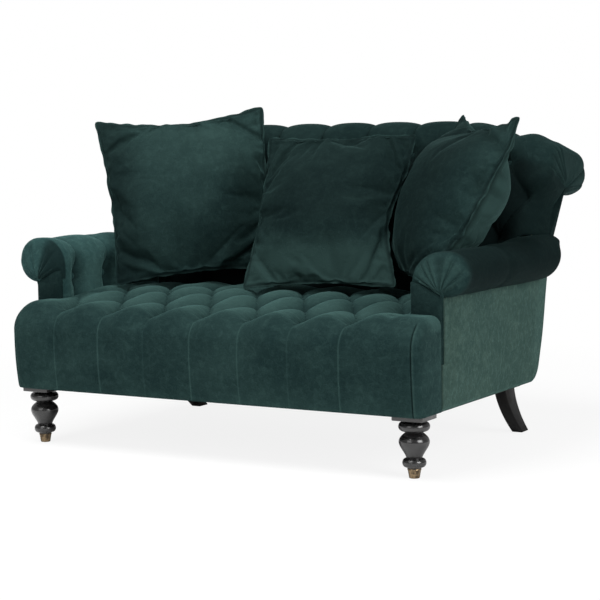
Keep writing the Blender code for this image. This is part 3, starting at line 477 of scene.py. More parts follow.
def tuftAt(u, v, tuft):
    # depth under the crown, how near a fold is, and the gap to the straight fold beyond the rows
    column, row, soft = tuft["column"], tuft["row"], tuft["soft"]
    last = (tuft["rows"] - 1) * row
    u = u - tuft["shift"]
    side = None
    fold = tuft["fold"]
    if v < 0 or v > last:
        odd = 0.0 if v < 0 else (tuft["rows"] - 1) % 2 / 2
        away = -v if v < 0 else v - last
        off = u / column - odd
        off -= round(off)
        side = off * column
        puff = arch(2 * abs(off)) ** (1.25 + 0.75 * math.exp(-away / 0.035))
        wave = (0.5 - 0.5 * math.cos(2 * math.pi * off)) ** 0.75
        puff += (wave - puff) * soft
        radius = math.hypot(side, away)
        turn = math.atan2(away, side)
        fold = blend(tuft["fold"], tuft["runFold"], ease(away / 0.03))
        fold *= tuft["runOut"] + (1 - tuft["runOut"]) * math.exp(-away / tuft["runLength"])
    else:
        s = u / column + v / (2 * row)
        t = v / (2 * row) - u / column
        ds, dt = s - round(s), t - round(t)
        puff = arch(2 * abs(ds)) * arch(2 * abs(dt))
        dx, dy = (ds - dt) * column / 2, (ds + dt) * row
        radius = math.hypot(dx, dy)
        turn = math.atan2(dy, dx)
    pit = math.exp(-(radius / tuft["spread"]) ** 1.3)
    depth = fold * (1 - puff) + (tuft["pit"] - fold) * pit
    if side is not None:
        depth += 0.003 * soft * bell(side, 0.004) * math.exp(-away / 0.08)
    # small gathers round the button
    depth += 0.0011 * math.cos(13 * turn) * bell(radius - 0.026, 0.014)
    return depth, 1 - puff, side


def endInset(distance, radius):
    if distance >= radius:
        return 0.0
    return radius - math.sqrt(max(radius ** 2 - (radius - distance) ** 2, 0.0))


def spread(low, high, step):
    count = max(int(round((high - low) / step)), 1)
    return [low + (high - low) * i / count for i in range(count + 1)]


def roundedEnd(tip, radius, steps):
    return [tip - radius * (1 - math.sin(math.pi / 2 * i / steps)) for i in range(steps + 1)]


seatTuft = {"column": 0.153, "row": 0.125, "rows": 4, "shift": -0.033, "fold": 0.024, "pit": 0.046,
            "spread": 0.024, "runOut": 0.05, "runLength": 0.070, "runFold": 0.044, "soft": 0.85}
seat = {"half": 0.655, "rear": 0.0963, "topFront": -0.47, "top": 0.448, "fall": 0.0179,
        "rearDrop": 0.020, "crown": 0.024, "crownFrom": 0.2825, "crownEase": 0.75, "crownRun": 0.20,
        "sat": 0.038, "satFrom": -0.17, "roundY": 0.085, "roundZ": 0.115, "tuck": 0.014,
        "firstRow": -0.445, "step": 0.0042, "endRun": 0.055, "topRound": {-1: 0.055, 1: 0.030},
        "sideRound": {-1: 0.045, 1: 0.022}, "ridge": 0.0016, "puff": 0.002, "mitre": 0.634,
        "heart": (-0.455, 0.28), "bulge": 0.003}


def besideArm(x):
    return ease((abs(x) - seat["crownFrom"]) / (shape["inside"] - seat["crownFrom"]))


def seatCrown(x, y):
    # fall towards the arms, less at the rear
    rearward = ease((y - shape["armFront"]) / seat["crownRun"])
    return seat["crown"] * besideArm(x) * (1 - seat["crownEase"] * rearward)


def frontFall(x, y):
    # the front edge is sat down between the arms
    forward = ease((seat["satFrom"] - y) / (seat["satFrom"] - seat["topFront"]))
    return seat["sat"] * (1 - 0.8 * besideArm(x)) * forward


def seatTopAt(x, y):
    drop = seat["rearDrop"] * bell(y - seat["rear"], 0.03)
    slope = seat["fall"] * max(y - seat["topFront"], 0.0)
    return seat["top"] - seatCrown(x, y) - frontFall(x, y) - slope - drop


def seatSection(x):
    # y, z, outward normal and the way along the cloth from the first button row
    front = shape["front"]
    spots = [(y, seatTopAt(x, y), 0.0, 1.0, y - seat["firstRow"])
             for y in reversed(spread(seat["topFront"], seat["rear"], seat["step"]))]
    way = seat["topFront"] - seat["firstRow"]
    drop = seatCrown(x, front) + frontFall(x, front)
    deep = seat["roundZ"] - drop
    steps = 40
    for i in range(1, steps + 1):
        a = math.pi / 2 * i / steps
        y = front + seat["roundY"] * (1 - math.sin(a))
        z = seat["top"] - drop - deep * (1 - math.cos(a))
        n = Vector((-math.sin(a) / seat["roundY"], math.cos(a) / deep)).normalized()
        way -= math.hypot(y - spots[-1][0], z - spots[-1][1])
        spots.append((y, z, n.x, n.y, way))
    high, steps = seat["top"] - seat["roundZ"], 30
    tall = high - shape["legTop"]
    for i in range(1, steps + 1):
        share = i / steps
        z = blend(high, shape["legTop"] + 0.004, share)
        n = Vector((-1.0, -2 * seat["tuck"] * share / tall)).normalized()
        way -= tall / steps
        spots.append((front + seat["tuck"] * share ** 2, z, n.x, n.y, way))
    return spots


def drawIn(ring, heart, rows, bulge):
    # closes an end across x: the loop shrinks to a point over a low crown
    loops = []
    for i in range(1, rows + 1):
        size = 1 - i / rows if i < rows else 0.01
        out = bulge * (1 - size ** 2)
        drawn = [(p[0] + out, *(blend(h, c, size) for h, c in zip(heart, p[1:3]))) for p in ring]
        loops.append([(*p, 0.0, 0.0) for p in drawn])
    return loops


def seatRing(x):
    away, hand = abs(x), -1 if x < 0 else 1
    wall = shape["armFront"] - (0.0106 if away > facing["inner"] - hair else 0.0008)
    ear = away > shape["inside"] - 0.0002
    base = shape["legTop"] if away > shape["frameSide"] + 0.0005 else shape["padBase"]
    fade = 1 - ease((away - shape["inside"] + 0.055) / 0.055)
    rounds = (seat[key][hand] for key in ("topRound", "sideRound"))
    topIn, sideIn = (endInset(seat["half"] - away, radius) for radius in rounds)
    rearY = insideBackY(base) - hair
    ring = [(x, min(rearY, wall) if ear else rearY, base, 0.0, 0.0)]
    for y, z, ny, nz, v in seatSection(x):
        depth, near, side = tuftAt(x, v, seatTuft)
        edge = 0.0
        # edge: a raised pleat line at the front, also a painted highlight along it
        if side is not None and v < -0.05:
            line = round((x - seatTuft["shift"]) / seatTuft["column"])
            edge = bell(side, 0.0019) * ease((-v - 0.05) / 0.05)
            edge *= 0.65 + 0.35 * math.sin(2.3 * line + 0.6)
        rise = seat["puff"] * (1 - near) * bell(v + 0.02, 0.075)
        depth = (depth - rise - seat["ridge"] * edge) * fade
        upright = ease((-ny - 0.35) / 0.4)
        # the mitre seam: a groove with painted shade in it
        seam = upright * bell(away - seat["mitre"], 0.0017)
        depth += topIn * nz * nz + sideIn * ny * ny + 0.0024 * seam
        depth += 0.0016 * noise.noise((x * 9, y * 9 + z * 9, 3.1))
        # painted shade in folds and pits; painted highlight on the pleat lines, the lower front
        # band (partly brushed pile), beside the mitre seam and on the puff tops lit from above
        paintedShade = min(near ** 6, 1.0) * 0.7 * fade * ease(1 + (v + 0.04) / 0.05)
        light = 0.75 * edge * fade + 0.38 * ease((-v - 0.27) / 0.09)
        light += 0.5 * upright * bell(away - seat["mitre"] - 0.0042, 0.002)
        light += 0.85 * (1 - near) ** 1.5 * ease((v + 0.07) / 0.07)
        ring.append((x, y - ny * depth, z - nz * depth, max(paintedShade, 0.9 * seam), light))
    if ear:
        # the ears stop at the arm: what lies behind goes into an upright wall
        cut = [i for i, p in enumerate(ring) if i and p[1] > wall]
        high = ring[cut[-1] + 1][2]
        for n, i in enumerate(cut):
            ring[i] = (x, wall, base + (high - base) * (n + 1) / (len(cut) + 1), 0.0, 0.0)
    low = shape["front"] + seat["tuck"] + 0.004 + sideIn
    rail = max(shape["railFace"], low + 0.001)
    under = ((low, shape["legTop"]), (rail, shape["legTop"]), (rail + 0.0003, base + 0.0003))
    return ring + [(x, y, z, 0.0, 0.0) for y, z in under]


def makeSeat():
    half, run = seat["half"], seat["endRun"]
    places = spread(-half + run, half - run, seat["step"])
    places += bothSides(0.0, roundedEnd(half, run, 16))
    places += bothSides(shape["inside"], (-0.0006, 0.0002))
    places += bothSides(shape["frameSide"], (0.0003, 0.0008))
    places += bothSides(facing["inner"], (-0.0002, -0.0008))
    places += bothSides(seat["mitre"], (-0.0036, -0.0018, -0.0008, 0, 0.0008, 0.0018, 0.0036))
    for k in range(-4, 5):
        line = k * seatTuft["column"] + seatTuft["shift"]
        places += [line + d for d in (-0.0032, -0.0016, 0, 0.0016, 0.0032)]
    rings = [seatRing(x) for x in sorted({round(x, 5) for x in places if abs(x) <= half})]
    left = drawIn(rings[0], seat["heart"], 7, -seat["bulge"])
    right = drawIn(rings[-1], seat["heart"], 7, seat["bulge"])
    pad = sewPad("seatPad", left[::-1] + rings + right)
    dress(pad, velvet("seatPad"), ["seat_pad"])
    print("seat pad:", len(pad.data.polygons), "faces")


# scroll ends: pleats gathered at a point
def fanLift(turn, reach, fan):
    # depth of the pleats at a place, how near a pleat line is and how much painted highlight its
    # ridge gets
    share = (turn - fan["from"]) / (fan["to"] - fan["from"])
    inside = ease(share * 14 + 0.5) * ease((1 - share) * 14 + 0.5)
    sway = 0.8 * math.sin(7 * share) + 0.5 * math.sin(17 * share)
    wave = abs(math.sin(math.pi * fan["pleats"] * share + sway))
    valley = 1 - wave ** 0.6
    broad, thin = (sum(bell((turn - fan[k]) * reach, width) for k in ("from", "to"))
                   for width in (0.0035, 0.0016))
    shorten = ease(1.3 - reach / fan["long"])
    height = -fan["height"] * valley * inside * ease(reach / fan["full"]) - 0.0035 * broad * shorten
    ridge = (0.35 * wave + 0.9 * valley ** 5) * inside * ease(reach / 0.012) * fan["lit"]
    ridge += 0.9 * thin * shorten
    return height, bell(valley - 0.45, 0.25) * inside * ease(reach / 0.015), ridge


backTuft = {"column": 0.157, "row": 0.125, "rows": 3, "shift": 0.0785, "fold": 0.018, "pit": 0.042,
            "spread": 0.026, "runOut": 0.45, "runLength": 0.12, "runFold": 0.018, "soft": 0.0}
back = {"half": 0.687, "crest": (0.33746, 0.833, 0.085), "roll": (0.475, 0.78, 0.080),
        "endRound": 0.032, "fallFrom": 0.38, "fall": 0.070, "fallBase": 0.65, "top": 0.918,
        "firstDrop": 0.035, "step": 0.0046, "lowRound": (0.125, 0.105), "tipFrom": 0.6815,
        "tipFloor": 0.572, "flare": 0.024, "flareFrom": 0.60, "flareTop": 0.655,
        "lastPuff": (0.015, 0.605, 0.036)}
backFan = {"from": math.radians(-10), "to": math.radians(150), "pleats": 10, "height": 0.0045,
           "full": 0.05, "long": 0.15, "heart": (0.368, 0.7215), "lit": 0.55, "plain": 0.45}


def overArm(x):
    # lowest place for the back's ends: just above the scrolled arm
    away = abs(x)
    if away < shape["inside"] + 0.0001:
        return shape["padBase"]
    if arm["crest"][0] <= away < arm["roll"][0]:
        return shape["armTop"] + 0.0008
    cx, cz, cr = arm["crest" if away < arm["crest"][0] else "roll"]
    return cz + math.sqrt(max(cr ** 2 - (away - cx) ** 2, 0.0)) + 0.0008


def scrollOutline(lean, base, scroll, inset, steps):
    # straight face, crest and rear roll: place, outward normal and the way from the crest's foot
    (cx, cz, cr), (rx, rz, rr) = scroll["crest"], scroll["roll"]
    cr, rr = cr - inset, rr - inset
    apart = math.hypot(rx - cx, rz - cz)
    start = math.pi - lean
    over = math.atan2(rz - cz, rx - cx) + math.acos((cr - rr) / apart)
    foot = Vector((cx + cr * math.cos(start), cz + cr * math.sin(start)))
    along = Vector((math.sin(lean), math.cos(lean)))
    length = (foot.y - base) / along.y
    points = []
    for i in range(steps[0]):
        way = length * (1 - i / steps[0])
        points.append((foot - along * way, Vector((math.cos(start), math.sin(start))), -way))
    arcs = ((cx, cz, cr, start, over, 0.0, steps[1]),
            (rx, rz, rr, over, -math.pi / 2, (start - over) * cr + apart, steps[2]))
    for x, z, radius, first, last, way, count in arcs:
        for i in range(count + 1):
            a = first + (last - first) * i / count
            n = Vector((math.cos(a), math.sin(a)))
            points.append((Vector((x, z)) + n * radius, n, way + (first - a) * radius))
    return points


def crestFall(x):
    # the crest falls to the ends over a last puff
    side = abs(x)
    fall = back["fall"] * ease((side - back["fallFrom"]) / (back["half"] - back["fallFrom"]))
    height, place, width = back["lastPuff"]
    return fall - height * bell(side - place, width)


def tuftFade(x):
    return 1 - ease((abs(x) - back["half"] + 0.085) / 0.06)


def flareAt(x, z):
    # the ends are narrower under the scroll
    below = 1 - ease((z - back["flareTop"]) / 0.07)
    tuckIn = back["flare"] * ease((abs(x) - back["flareFrom"]) / 0.06) * below
    return x - math.copysign(tuckIn, x)


def backRing(x, inset):
    away, half = abs(x), back["half"]
    points = scrollOutline(backLean, shape["padBase"], back, inset, (128, 40, 44))
    squeeze = crestFall(x) / (back["top"] - back["fallBase"])
    wide, deep = back["lowRound"]
    turned = deep * endInset(half - away, wide) / wide
    fade = tuftFade(x)
    floor = overArm(x)
    rearFloor = shape["armTop"] if away > shape["inside"] else shape["padBase"]
    if away > back["tipFrom"]:
        floor = rearFloor = back["tipFloor"]
    ring = []
    under = 0
    for place, n, way in points:
        depth, near, side = tuftAt(x, -back["firstDrop"] - way, backTuft)
        soft = ease((place.y - shape["padBase"]) / 0.03)
        depth *= fade * soft * (1 - 0.5 * ease((way - 0.30) / 0.12))
        edge = bell(side, 0.002) * ease((way - 0.02) / 0.03) if side is not None else 0.0
        depth -= 0.0013 * edge * fade
        depth += 0.0012 * noise.noise((x * 8, way * 8, 7.7))
        depth -= 0.0035 * (1 - near) * fade * bell(way - 0.06, 0.10)
        spot = place - n * depth
        held = 1 - 0.42 * ease((spot.x - 0.33) / 0.12)
        z = spot.y - max(spot.y - back["fallBase"], 0.0) * squeeze * held
        if z < floor:
            z = floor
            under += way < -0.1
        y = spot.x + (turned * (1 - ease((z - 0.685) / 0.075)) if way < 0 else 0.0)
        # painted shade over the inside face (partly for the pile) and in the folds, painted
        # highlight on the pleat lines
        shaded = 0.85 * ease(-way / 0.05) * (1 - 0.45 * ease((away - half + 0.10) / 0.09))
        paintedShade = min(near ** 4, 1.0) * 0.8 * fade * (1 - 0.6 * ease(way / 0.1))
        ring.append((flareAt(x, z), y, z, max(paintedShade, shaded), 0.35 * edge * fade))
    for z, tuck in ((0.704, 0.002), (0.688, 0.004), (0.598, 0.004), (shape["padBase"], 0.004)):
        z = max(z, rearFloor)
        wrapped = away > shape["frameSide"] + 0.0005 or z > 0.69
        rear = outerBackY(z) - tuck - inset / 2 if wrapped else frameBackY(z)
        ring.append((flareAt(x, z), rear, z, 0.0, 0.0))
    if away > shape["inside"] + 0.0001:
        # what would lie in the arm is laid along the underside
        first, last = ring[under][1], ring[-1][1]
        for i in range(under):
            y = first + (last - first) * 0.9 * (1 - (i + 1) / (under + 1))
            ring[i] = (ring[i][0], y, *ring[i][2:])
    return ring


def fromHeart(point, axis, fan):
    # the two axes of an end, the offset from the gathering point and its direction
    others = [k for k in range(3) if k != axis]
    flat = Vector([point[k] for k in others]) - Vector(fan["heart"])
    turn = math.atan2(flat.y, flat.x)
    return others, flat, turn + 2 * math.pi if turn < fan["from"] - math.pi / 2 else turn


def gatherEnd(ring, fan, axis, tip, way, rows):
    # closes an end over a gathering point: the loop shrinks to it in a low dome with fan pleats
    loops = []
    for i in range(1, rows + 1):
        size = (1 - i / rows) ** 0.85 if i < rows else 0.012
        loop = []
        for point in ring:
            others, flat, turn = fromHeart(point, axis, fan)
            reach = flat.length * size
            lift, near, ridge = fanLift(turn, reach, fan)
            inside = ease((turn - fan["from"]) / 0.12 + 0.5) * ease((fan["to"] - turn) / 0.12 + 0.5)
            dome = 0.006 * (1 - size ** 2.4) * ease(reach / 0.03) * inside
            spot = list(point[:3])
            for k, heart, value in zip(others, fan["heart"], flat * size):
                spot[k] = heart + value
            height = dome + lift if inside > 0.5 else dome
            spot[axis] = blend(tip, point[axis], size) + way * height
            # painted shade on the plain end outside the fan and in the pleat valleys, painted
            # highlight on the ridges
            plain = 1 - ease((turn - fan["from"]) * 6 + 1) * ease((fan["to"] - turn) * 6 + 1)
            loop.append((*spot, max(0.22 * near, fan["plain"] * plain), ridge))
        loops.append(loop)
    return loops


def pleatRim(ring, fan, axis, way, lean, strength):
    # the rounded rim takes the pleats too: pushes a loop along its own slope
    loop = []
    for point in ring:
        others, flat, turn = fromHeart(point, axis, fan)
        lift, near, ridge = fanLift(turn, flat.length, fan)
        spot = list(point[:3])
        for k, value in zip(others, flat.normalized()):
            spot[k] += value * lift * strength * math.cos(lean)
        spot[axis] += way * lift * strength * math.sin(lean)
        # the pleats' painted shade and painted highlight join the ring's own marks
        loop.append((*spot, max(point[3], 0.22 * near * strength), max(point[4], ridge * strength)))
    return loop


def makeBack():
    half, bend = back["half"], back["endRound"]
    inner = half - bend
    places = spread(-inner, inner, back["step"])
    places += bothSides(shape["inside"], (-0.0006, 0.0002, 0.0008, 0.002, 0.004, 0.007, 0.011))
    for k in range(-5, 5):
        line = k * backTuft["column"] + backTuft["shift"]
        places += [line + d for d in (-0.0034, -0.0017, 0, 0.0017, 0.0034)]
    rings = [backRing(x, 0.0) for x in sorted({round(x, 5) for x in places if abs(x) <= inner})]
    steps = 12
    for way in (-1, 1):
        end = []
        for i in range(1, steps + 1):
            lean = math.pi / 2 * i / steps
            ring = backRing(way * (inner + bend * math.sin(lean)), bend * (1 - math.cos(lean)))
            end.append(pleatRim(ring, backFan, 0, way, lean, ease(i / steps * 1.2 - 0.2)))
        end += gatherEnd(backRing(way * half, bend), backFan, 0, way * half, way, 26)
        rings = rings + end if way > 0 else end[::-1] + rings
    pad = sewPad("backPad", rings)
    dress(pad, velvet("backPad"), ["back_pad"])
    print("back pad:", len(pad.data.polygons), "faces")


# rollDark: painted shade on the roll's top, partly for the pile; lit: painted highlight on the
# inside puffs
arm = {"crest": (0.645, 0.508, 0.08), "roll": (0.66, 0.524, 0.064), "base": 0.2886,
       "firstButton": -0.323, "column": 0.15, "buttons": 3, "buttonZ": 0.476, "pit": 0.042,
       "fold": 0.027, "crestFold": {"left": 0.012, "right": 0.002}, "frontTip": -0.419,
       "endRound": 0.026, "rearRound": 0.045, "step": 0.0045,
       "lift": {"left": 0.003, "right": -0.011}, "rollDark": {"left": 0.0, "right": 0.85},
       "lit": {"left": 0.45, "right": 0.1}}
armFan = {"from": math.radians(28), "to": math.radians(150), "pleats": 6, "height": 0.0040,
          "full": 0.035, "long": 0.075, "heart": (0.651, 0.470), "lit": 1.3, "plain": 0.0}


def armSection(y, inset, front, hand):
    rear = frameBackY(arm["buttonZ"]) - hair
    points = scrollOutline(0.0, arm["base"], arm, inset, (40, 34, 64))
    rollIn = endInset(rear - y, arm["rearRound"])
    off = (y - arm["firstButton"]) / arm["column"]
    off -= round(off)
    near = off * arm["column"]
    wide = (0.5 + 0.5 * math.cos(2 * math.pi * off)) ** 1.5
    valley = 0.5 - 0.5 * arch(2 * abs(off)) ** 1.15 + 0.5 * wide
    fade = ease((y - arm["frontTip"] - 0.012) / 0.05) * ease((rear - y) / 0.06)
    lift = arm["lift"][hand] * (1 - ease((y - 0.02) / 0.09) if hand == "right" else 1.0)
    rollDark = arm["rollDark"][hand] * ease((y - arm["frontTip"] - 0.004) / 0.05)
    ring = []
    for place, n, way in points:
        onTop = ease((way + 0.02) / 0.07)
        fold = blend(arm["fold"], arm["crestFold"][hand], onTop)
        fold *= 1 - 0.85 * ease((way - 0.10) / 0.08)
        pit = 0.0
        if way < 0.06:
            pit = math.exp(-(math.hypot(near, place.y - arm["buttonZ"]) / 0.030) ** 1.4)
        sink = fold * valley + (arm["pit"] - fold) * pit - 0.004 * (1 - valley) * (1 - onTop)
        sink += 0.0022 * bell(y + 0.12 + 0.05 * way, 0.022) * ease((way - 0.03) / 0.05)
        spot = place - n * (sink * fade + 0.0018 * noise.noise((place.x * 9, y * 7, place.y * 9)))
        x = spot.x - rollIn * ease((place.x - 0.645) / 0.06) * (1 - ease((place.y - 0.545) / 0.03))
        z = spot.y + lift * ease((spot.y - 0.47) / 0.10)
        # painted shade in the valleys, in the pits and on the dark roll; painted highlight on the
        # puffs
        paintedShade = 0.8 * max(valley ** 3 * (1 - 0.8 * ease(way / 0.10)), pit) * fade
        light = arm["lit"][hand] * (1 - valley) * (1 - onTop) * fade
        ring.append((x, y, z, max(paintedShade, rollDark * onTop), light))
    if front:
        frameLine = ((0.657, 0.456), (0.657, 0.38), (0.657, arm["base"]), (0.605, arm["base"]))
    else:
        shoulder = 0.4983 if y < shape["armFront"] + 0.024 else 0.5403
        frameLine = ((0.6433, 0.462), (0.6433, shoulder), (0.6047, shoulder), (0.6047, arm["base"]))
    return ring + [(x, y, z, 0.0, 0.0) for x, z in frameLine]


def makeArm(hand, side):
    tip, bend = arm["frontTip"], arm["endRound"]
    rear = frameBackY(arm["buttonZ"]) - hair
    first = tip + bend
    fan = dict(armFan)
    if hand == "left":
        fan.update(lit=0.35, pleats=5)

    def trim(loop):
        if hand == "left":
            loop = [innerShade(p, fan["heart"]) for p in loop]
        return [keepBehind(p) for p in loop]
    loops = gatherEnd(armSection(tip, bend, True, hand), fan, 1, tip, -1, 18)
    rings = [trim(loop) for loop in loops[::-1]]
    steps = 9
    for i in range(steps, 0, -1):
        lean = math.pi / 2 * i / steps
        y = first - bend * math.sin(lean)
        ring = armSection(y, bend * (1 - math.cos(lean)), y < shape["armFront"], hand)
        rings.append(trim(pleatRim(ring, fan, 1, -1, lean, ease(i / steps * 1.3 - 0.2))))
    places = spread(first, rear - arm["rearRound"], arm["step"])
    places += roundedEnd(rear, arm["rearRound"], 12)[1:]
    for k in range(arm["buttons"]):
        places += [arm["firstButton"] + k * arm["column"] + d for d in (-0.0016, 0, 0.0016)]
    for y in sorted(places):
        share = max((y - first) / (rear - first), 0.0)
        rings.append([(p[0], first + share * (frameBackY(p[2]) - hair - first), *p[2:])
                      for p in armSection(y, endInset(rear - y, 0.012), False, hand)])
    pad = sewPad(hand + "ArmPad", [[(side * p[0], *p[1:]) for p in ring] for ring in rings])
    dress(pad, velvet(hand + "Arm"), [hand + "_arm_pad"])


def innerShade(point, heart):
    # painted shade on the face towards the seat, partly for the pile lying the dark way
    x, y, z, paintedShade, light = point
    shade = 0.85 * ease((math.atan2(z - heart[1], x - heart[0]) - 1.65) / 0.35)
    return x, y, z, max(paintedShade, shade), light


def keepBehind(point):
    # below the pleats the end stays behind the facing, square at the inside
    x, y, z = point[:3]
    line = 0.505 - (x - 0.58) * 0.52 if x < 0.653 else 0.464
    if z < line:
        if x < shape["inside"] + arm["endRound"] + 0.001:
            x -= (x - shape["inside"] - 0.0003) * ease((line - z) / 0.02)
        if y < shape["armFront"]:
            y = max(y, shape["armFront"] - 0.0002 - 0.004 * ease((z - line + 0.012) / 0.012))
    return x, y, z, *point[3:]


def densify(outline, step):
    points = []
    for a, b in zip(outline, outline[1:] + outline[:1]):
        count = max(int(math.hypot(b[0] - a[0], b[1] - a[1]) / step), 1)
        points += [tuple(a[k] + (b[k] - a[k]) * i / count for k in (0, 1)) for i in range(count)]
    return points


facing = {"inner": 0.5665, "outer": 0.6546, "low": 0.2889, "thick": 0.0095, "edge": 0.55,
          "crown": 1.35, "heart": (0.615, 0.39)}


def makeFacing(hand, side):
    # padded plate: the outline is drawn to its middle over a low crown, flat behind
    inner, outer, low, edge = (facing[k] for k in ("inner", "outer", "low", "edge"))
    outline = densify([(inner, low), (outer, low), (outer, 0.462), (0.605, 0.4875), (0.59, 0.495),
                       (inner, 0.498)], 0.004)
    rows = 14
    levels = [(1.0, 0.0), (1.0, edge)]
    for share in (1 - i / rows for i in range(1, rows)):
        levels.append((share, edge + (facing["crown"] - edge) * (1 - share ** 2.2) ** 0.5))
    rings = []
    for share, height in levels:
        y = shape["armFront"] - 0.0004 - facing["thick"] * height
        drawn = [[blend(h, c, share) for h, c in zip(facing["heart"], p)] for p in outline]
        rings.append([(side * x, y, z, 0.0, 0.0) for x, z in drawn])
    pad = sewPad(hand + "ArmFacing", rings, 50.0)
    dress(pad, velvet("facing"), [hand + "_arm_facing"])


panel = {"crown": 0.006, "edge": 0.010, "edgeIn": 0.0035, "step": 0.008, "corner": 0.045,
         "lift": 0.0004, "padOut": 0.022, "padTop": 0.52, "padRun": 0.25}


def panelBackY(z):
    # padding makes the back stand steeper low down
    return outerBackY(z) + panel["padOut"] * ease((panel["padTop"] - z) / panel["padRun"])


def panelEdges(z):
    rear = panelBackY(z)
    rise = z - shape["legTop"] - panel["lift"]
    if rise < panel["corner"]:
        rear -= panel["corner"] * (1 - math.sqrt(max(1 - (1 - rise / panel["corner"]) ** 2, 0.0)))
    front = shape["armFront"] - 0.010
    if z > 0.2884:
        front = shape["armFront"] + 0.0003
    if z > shape["rollBase"] - 0.0003:
        front = frameBackY(z) + 0.0015
    return front, rear


def makeOutsideArm(hand, side):
    low, high = shape["legTop"] + panel["lift"], shape["armTop"] - 0.0004
    corner, count = panel["corner"], 70
    levels = [low + corner * (1 - math.cos(math.pi / 2 * i / 9)) for i in range(9)]
    for first, last in ((low + corner, 0.2882), (0.2887, 0.4595), (0.4599, high)):
        levels += spread(first, last, panel["step"])
    inner = side * (shape["frameSide"] + 0.0003)
    rings = []
    for z in levels:
        front, rear = panelEdges(z)
        below = z < 0.4597
        ring = [(inner, front, z, 0.0, 0.0)]
        for i in range(count + 1):
            y = front + (rear - front) * (0.5 - 0.5 * math.cos(math.pi * i / count))
            border = min(y - front if below else 1.0, rear - y, z - low, 0.10)
            x = shape["side"] - panel["edgeIn"] * (1 - ease(border / panel["edge"]))
            x += panel["crown"] * ease(border / 0.10) * ease((0.49 - z) / 0.04)
            x += 0.0008 * noise.noise((y * 6, z * 6, 1.3 * side))
            # painted shade along the front edge and under the roll
            paintedShade = 0.9 * (bell(y - front, 0.008) if below else ease((z - 0.47) / 0.03))
            ring.append((side * x, y, z, paintedShade, 0.0))
        rings.append(ring + [(inner, rear, z, 0.0, 0.0)])
    pad = sewPad(hand + "OutsideArm", rings, 50.0)
    dress(pad, velvet("panel"), [hand + "_outside_arm"])


def makeOutsideBack():
    low, high = shape["legTop"] + panel["lift"], 0.6978
    half = shape["frameSide"] - 0.0004
    deep = 0.012 / math.cos(backLean)
    rings = []
    count = 90
    for z in spread(low, high, 0.009):
        rear, inner = panelBackY(z), outerBackY(z) - deep
        ring = [(-half, inner, z, 0.0, 0.0)]
        for i in range(count + 1):
            x = -half * math.cos(math.pi * i / count)
            border = min(half - abs(x), z - low, high - z)
            out = panel["crown"] * ease(border / 0.12)
            out -= panel["edgeIn"] * (1 - ease(border / panel["edge"]))
            out += 0.0009 * noise.noise((x * 5, z * 5, 4.4))
            # painted shade along the border
            ring.append((x, rear + out, z, 0.5 * bell(border, 0.004), 0.0))
        rings.append(ring + [(half, inner, z, 0.0, 0.0)])
    pad = sewPad("outsideBack", rings, 50.0)
    dress(pad, velvet("panel"), ["outside_back"])


# covered buttons at the bottom of the tufts
button = {"radius": 0.0115, "height": 0.0075, "proud": 0.004}


def makeButton(name, place, normal):
    radius, height = button["radius"], button["height"]
    clearSelection()
    bpy.ops.mesh.primitive_uv_sphere_add(segments=20, ring_count=12, radius=radius)
    piece = bpy.context.object
    piece.name = name
    bpy.ops.object.mode_set(mode="EDIT")
    bpy.ops.mesh.select_all(action="SELECT")
    bpy.ops.transform.resize(value=(1, 1, height / radius))
    bpy.ops.mesh.select_all(action="DESELECT")
    bpy.ops.object.mode_set(mode="OBJECT")
    # the lower part is drawn in
    for poly in piece.data.polygons:
        poly.select = poly.center.z < -0.4 * height
    bpy.ops.object.mode_set(mode="EDIT")
    bpy.ops.mesh.select_mode(type="FACE")
    bpy.ops.transform.resize(value=(0.72, 0.72, 0.6), center_override=(0, 0, -height * 0.4))
    bpy.ops.object.mode_set(mode="OBJECT")
    bpy.ops.object.shade_smooth()
    turn = Vector((0, 0, 1)).rotation_difference(Vector(normal)).to_matrix().to_4x4()
    piece.data.transform(Matrix.Translation(place) @ turn)
    return piece


def tuftPlaces(tuft):
    return [(row, (k + row % 2 / 2) * tuft["column"] + tuft["shift"])
            for row in range(tuft["rows"]) for k in range(-5, 6)]


def makeButtons():
    seatSpots, backSpots, armSpots = [], [], []
    for row, x in tuftPlaces(seatTuft):
        if abs(x) < shape["inside"] - 0.05:
            y = seat["firstRow"] + row * seatTuft["row"]
            z = seatTopAt(x, y) - seatTuft["pit"] + button["proud"]
            seatSpots.append(((x, y, z), (0, 0, 1)))
    normal = Vector((0, -math.cos(backLean), math.sin(backLean)))
    along = Vector((0, math.sin(backLean), math.cos(backLean)))
    cy, cz, cr = back["crest"]
    foot = Vector((0, cy, cz)) + normal * cr
    for row, x in tuftPlaces(backTuft):
        deep = backTuft["pit"] * tuftFade(x) - button["proud"]
        spot = foot - along * (back["firstDrop"] + row * backTuft["row"]) - normal * deep
        squeeze = crestFall(x) / (back["top"] - back["fallBase"])
        z = spot.z - max(spot.z - back["fallBase"], 0) * squeeze
        free = z > shape["armTop"] + 0.03 or abs(x) < shape["inside"] - 0.03
        if free and abs(x) < back["half"] - 0.10:
            backSpots.append(((x, spot.y, z), normal))
    for side in (-1, 1):
        x = side * (shape["inside"] + arm["pit"] - button["proud"])
        for k in range(arm["buttons"]):
            y = arm["firstButton"] + k * arm["column"]
            armSpots.append(((x, y, arm["buttonZ"]), (-side, 0, 0.25)))
    for name, spots, kind in (("seatButtons", seatSpots, "seatPad"),
                              ("backButtons", backSpots, "backPad"),
                              ("armButtons", armSpots, "leftArm")):
        pieces = [makeButton("%s%d" % (name, i), *spot) for i, spot in enumerate(spots)]
        clearSelection()
        for piece in pieces:
            piece.select_set(True)
        bpy.context.view_layer.objects.active = pieces[0]
        bpy.ops.object.join()
        pieces[0].name = name
        dress(pieces[0], velvet(kind))
        print(name + ":", len(spots))


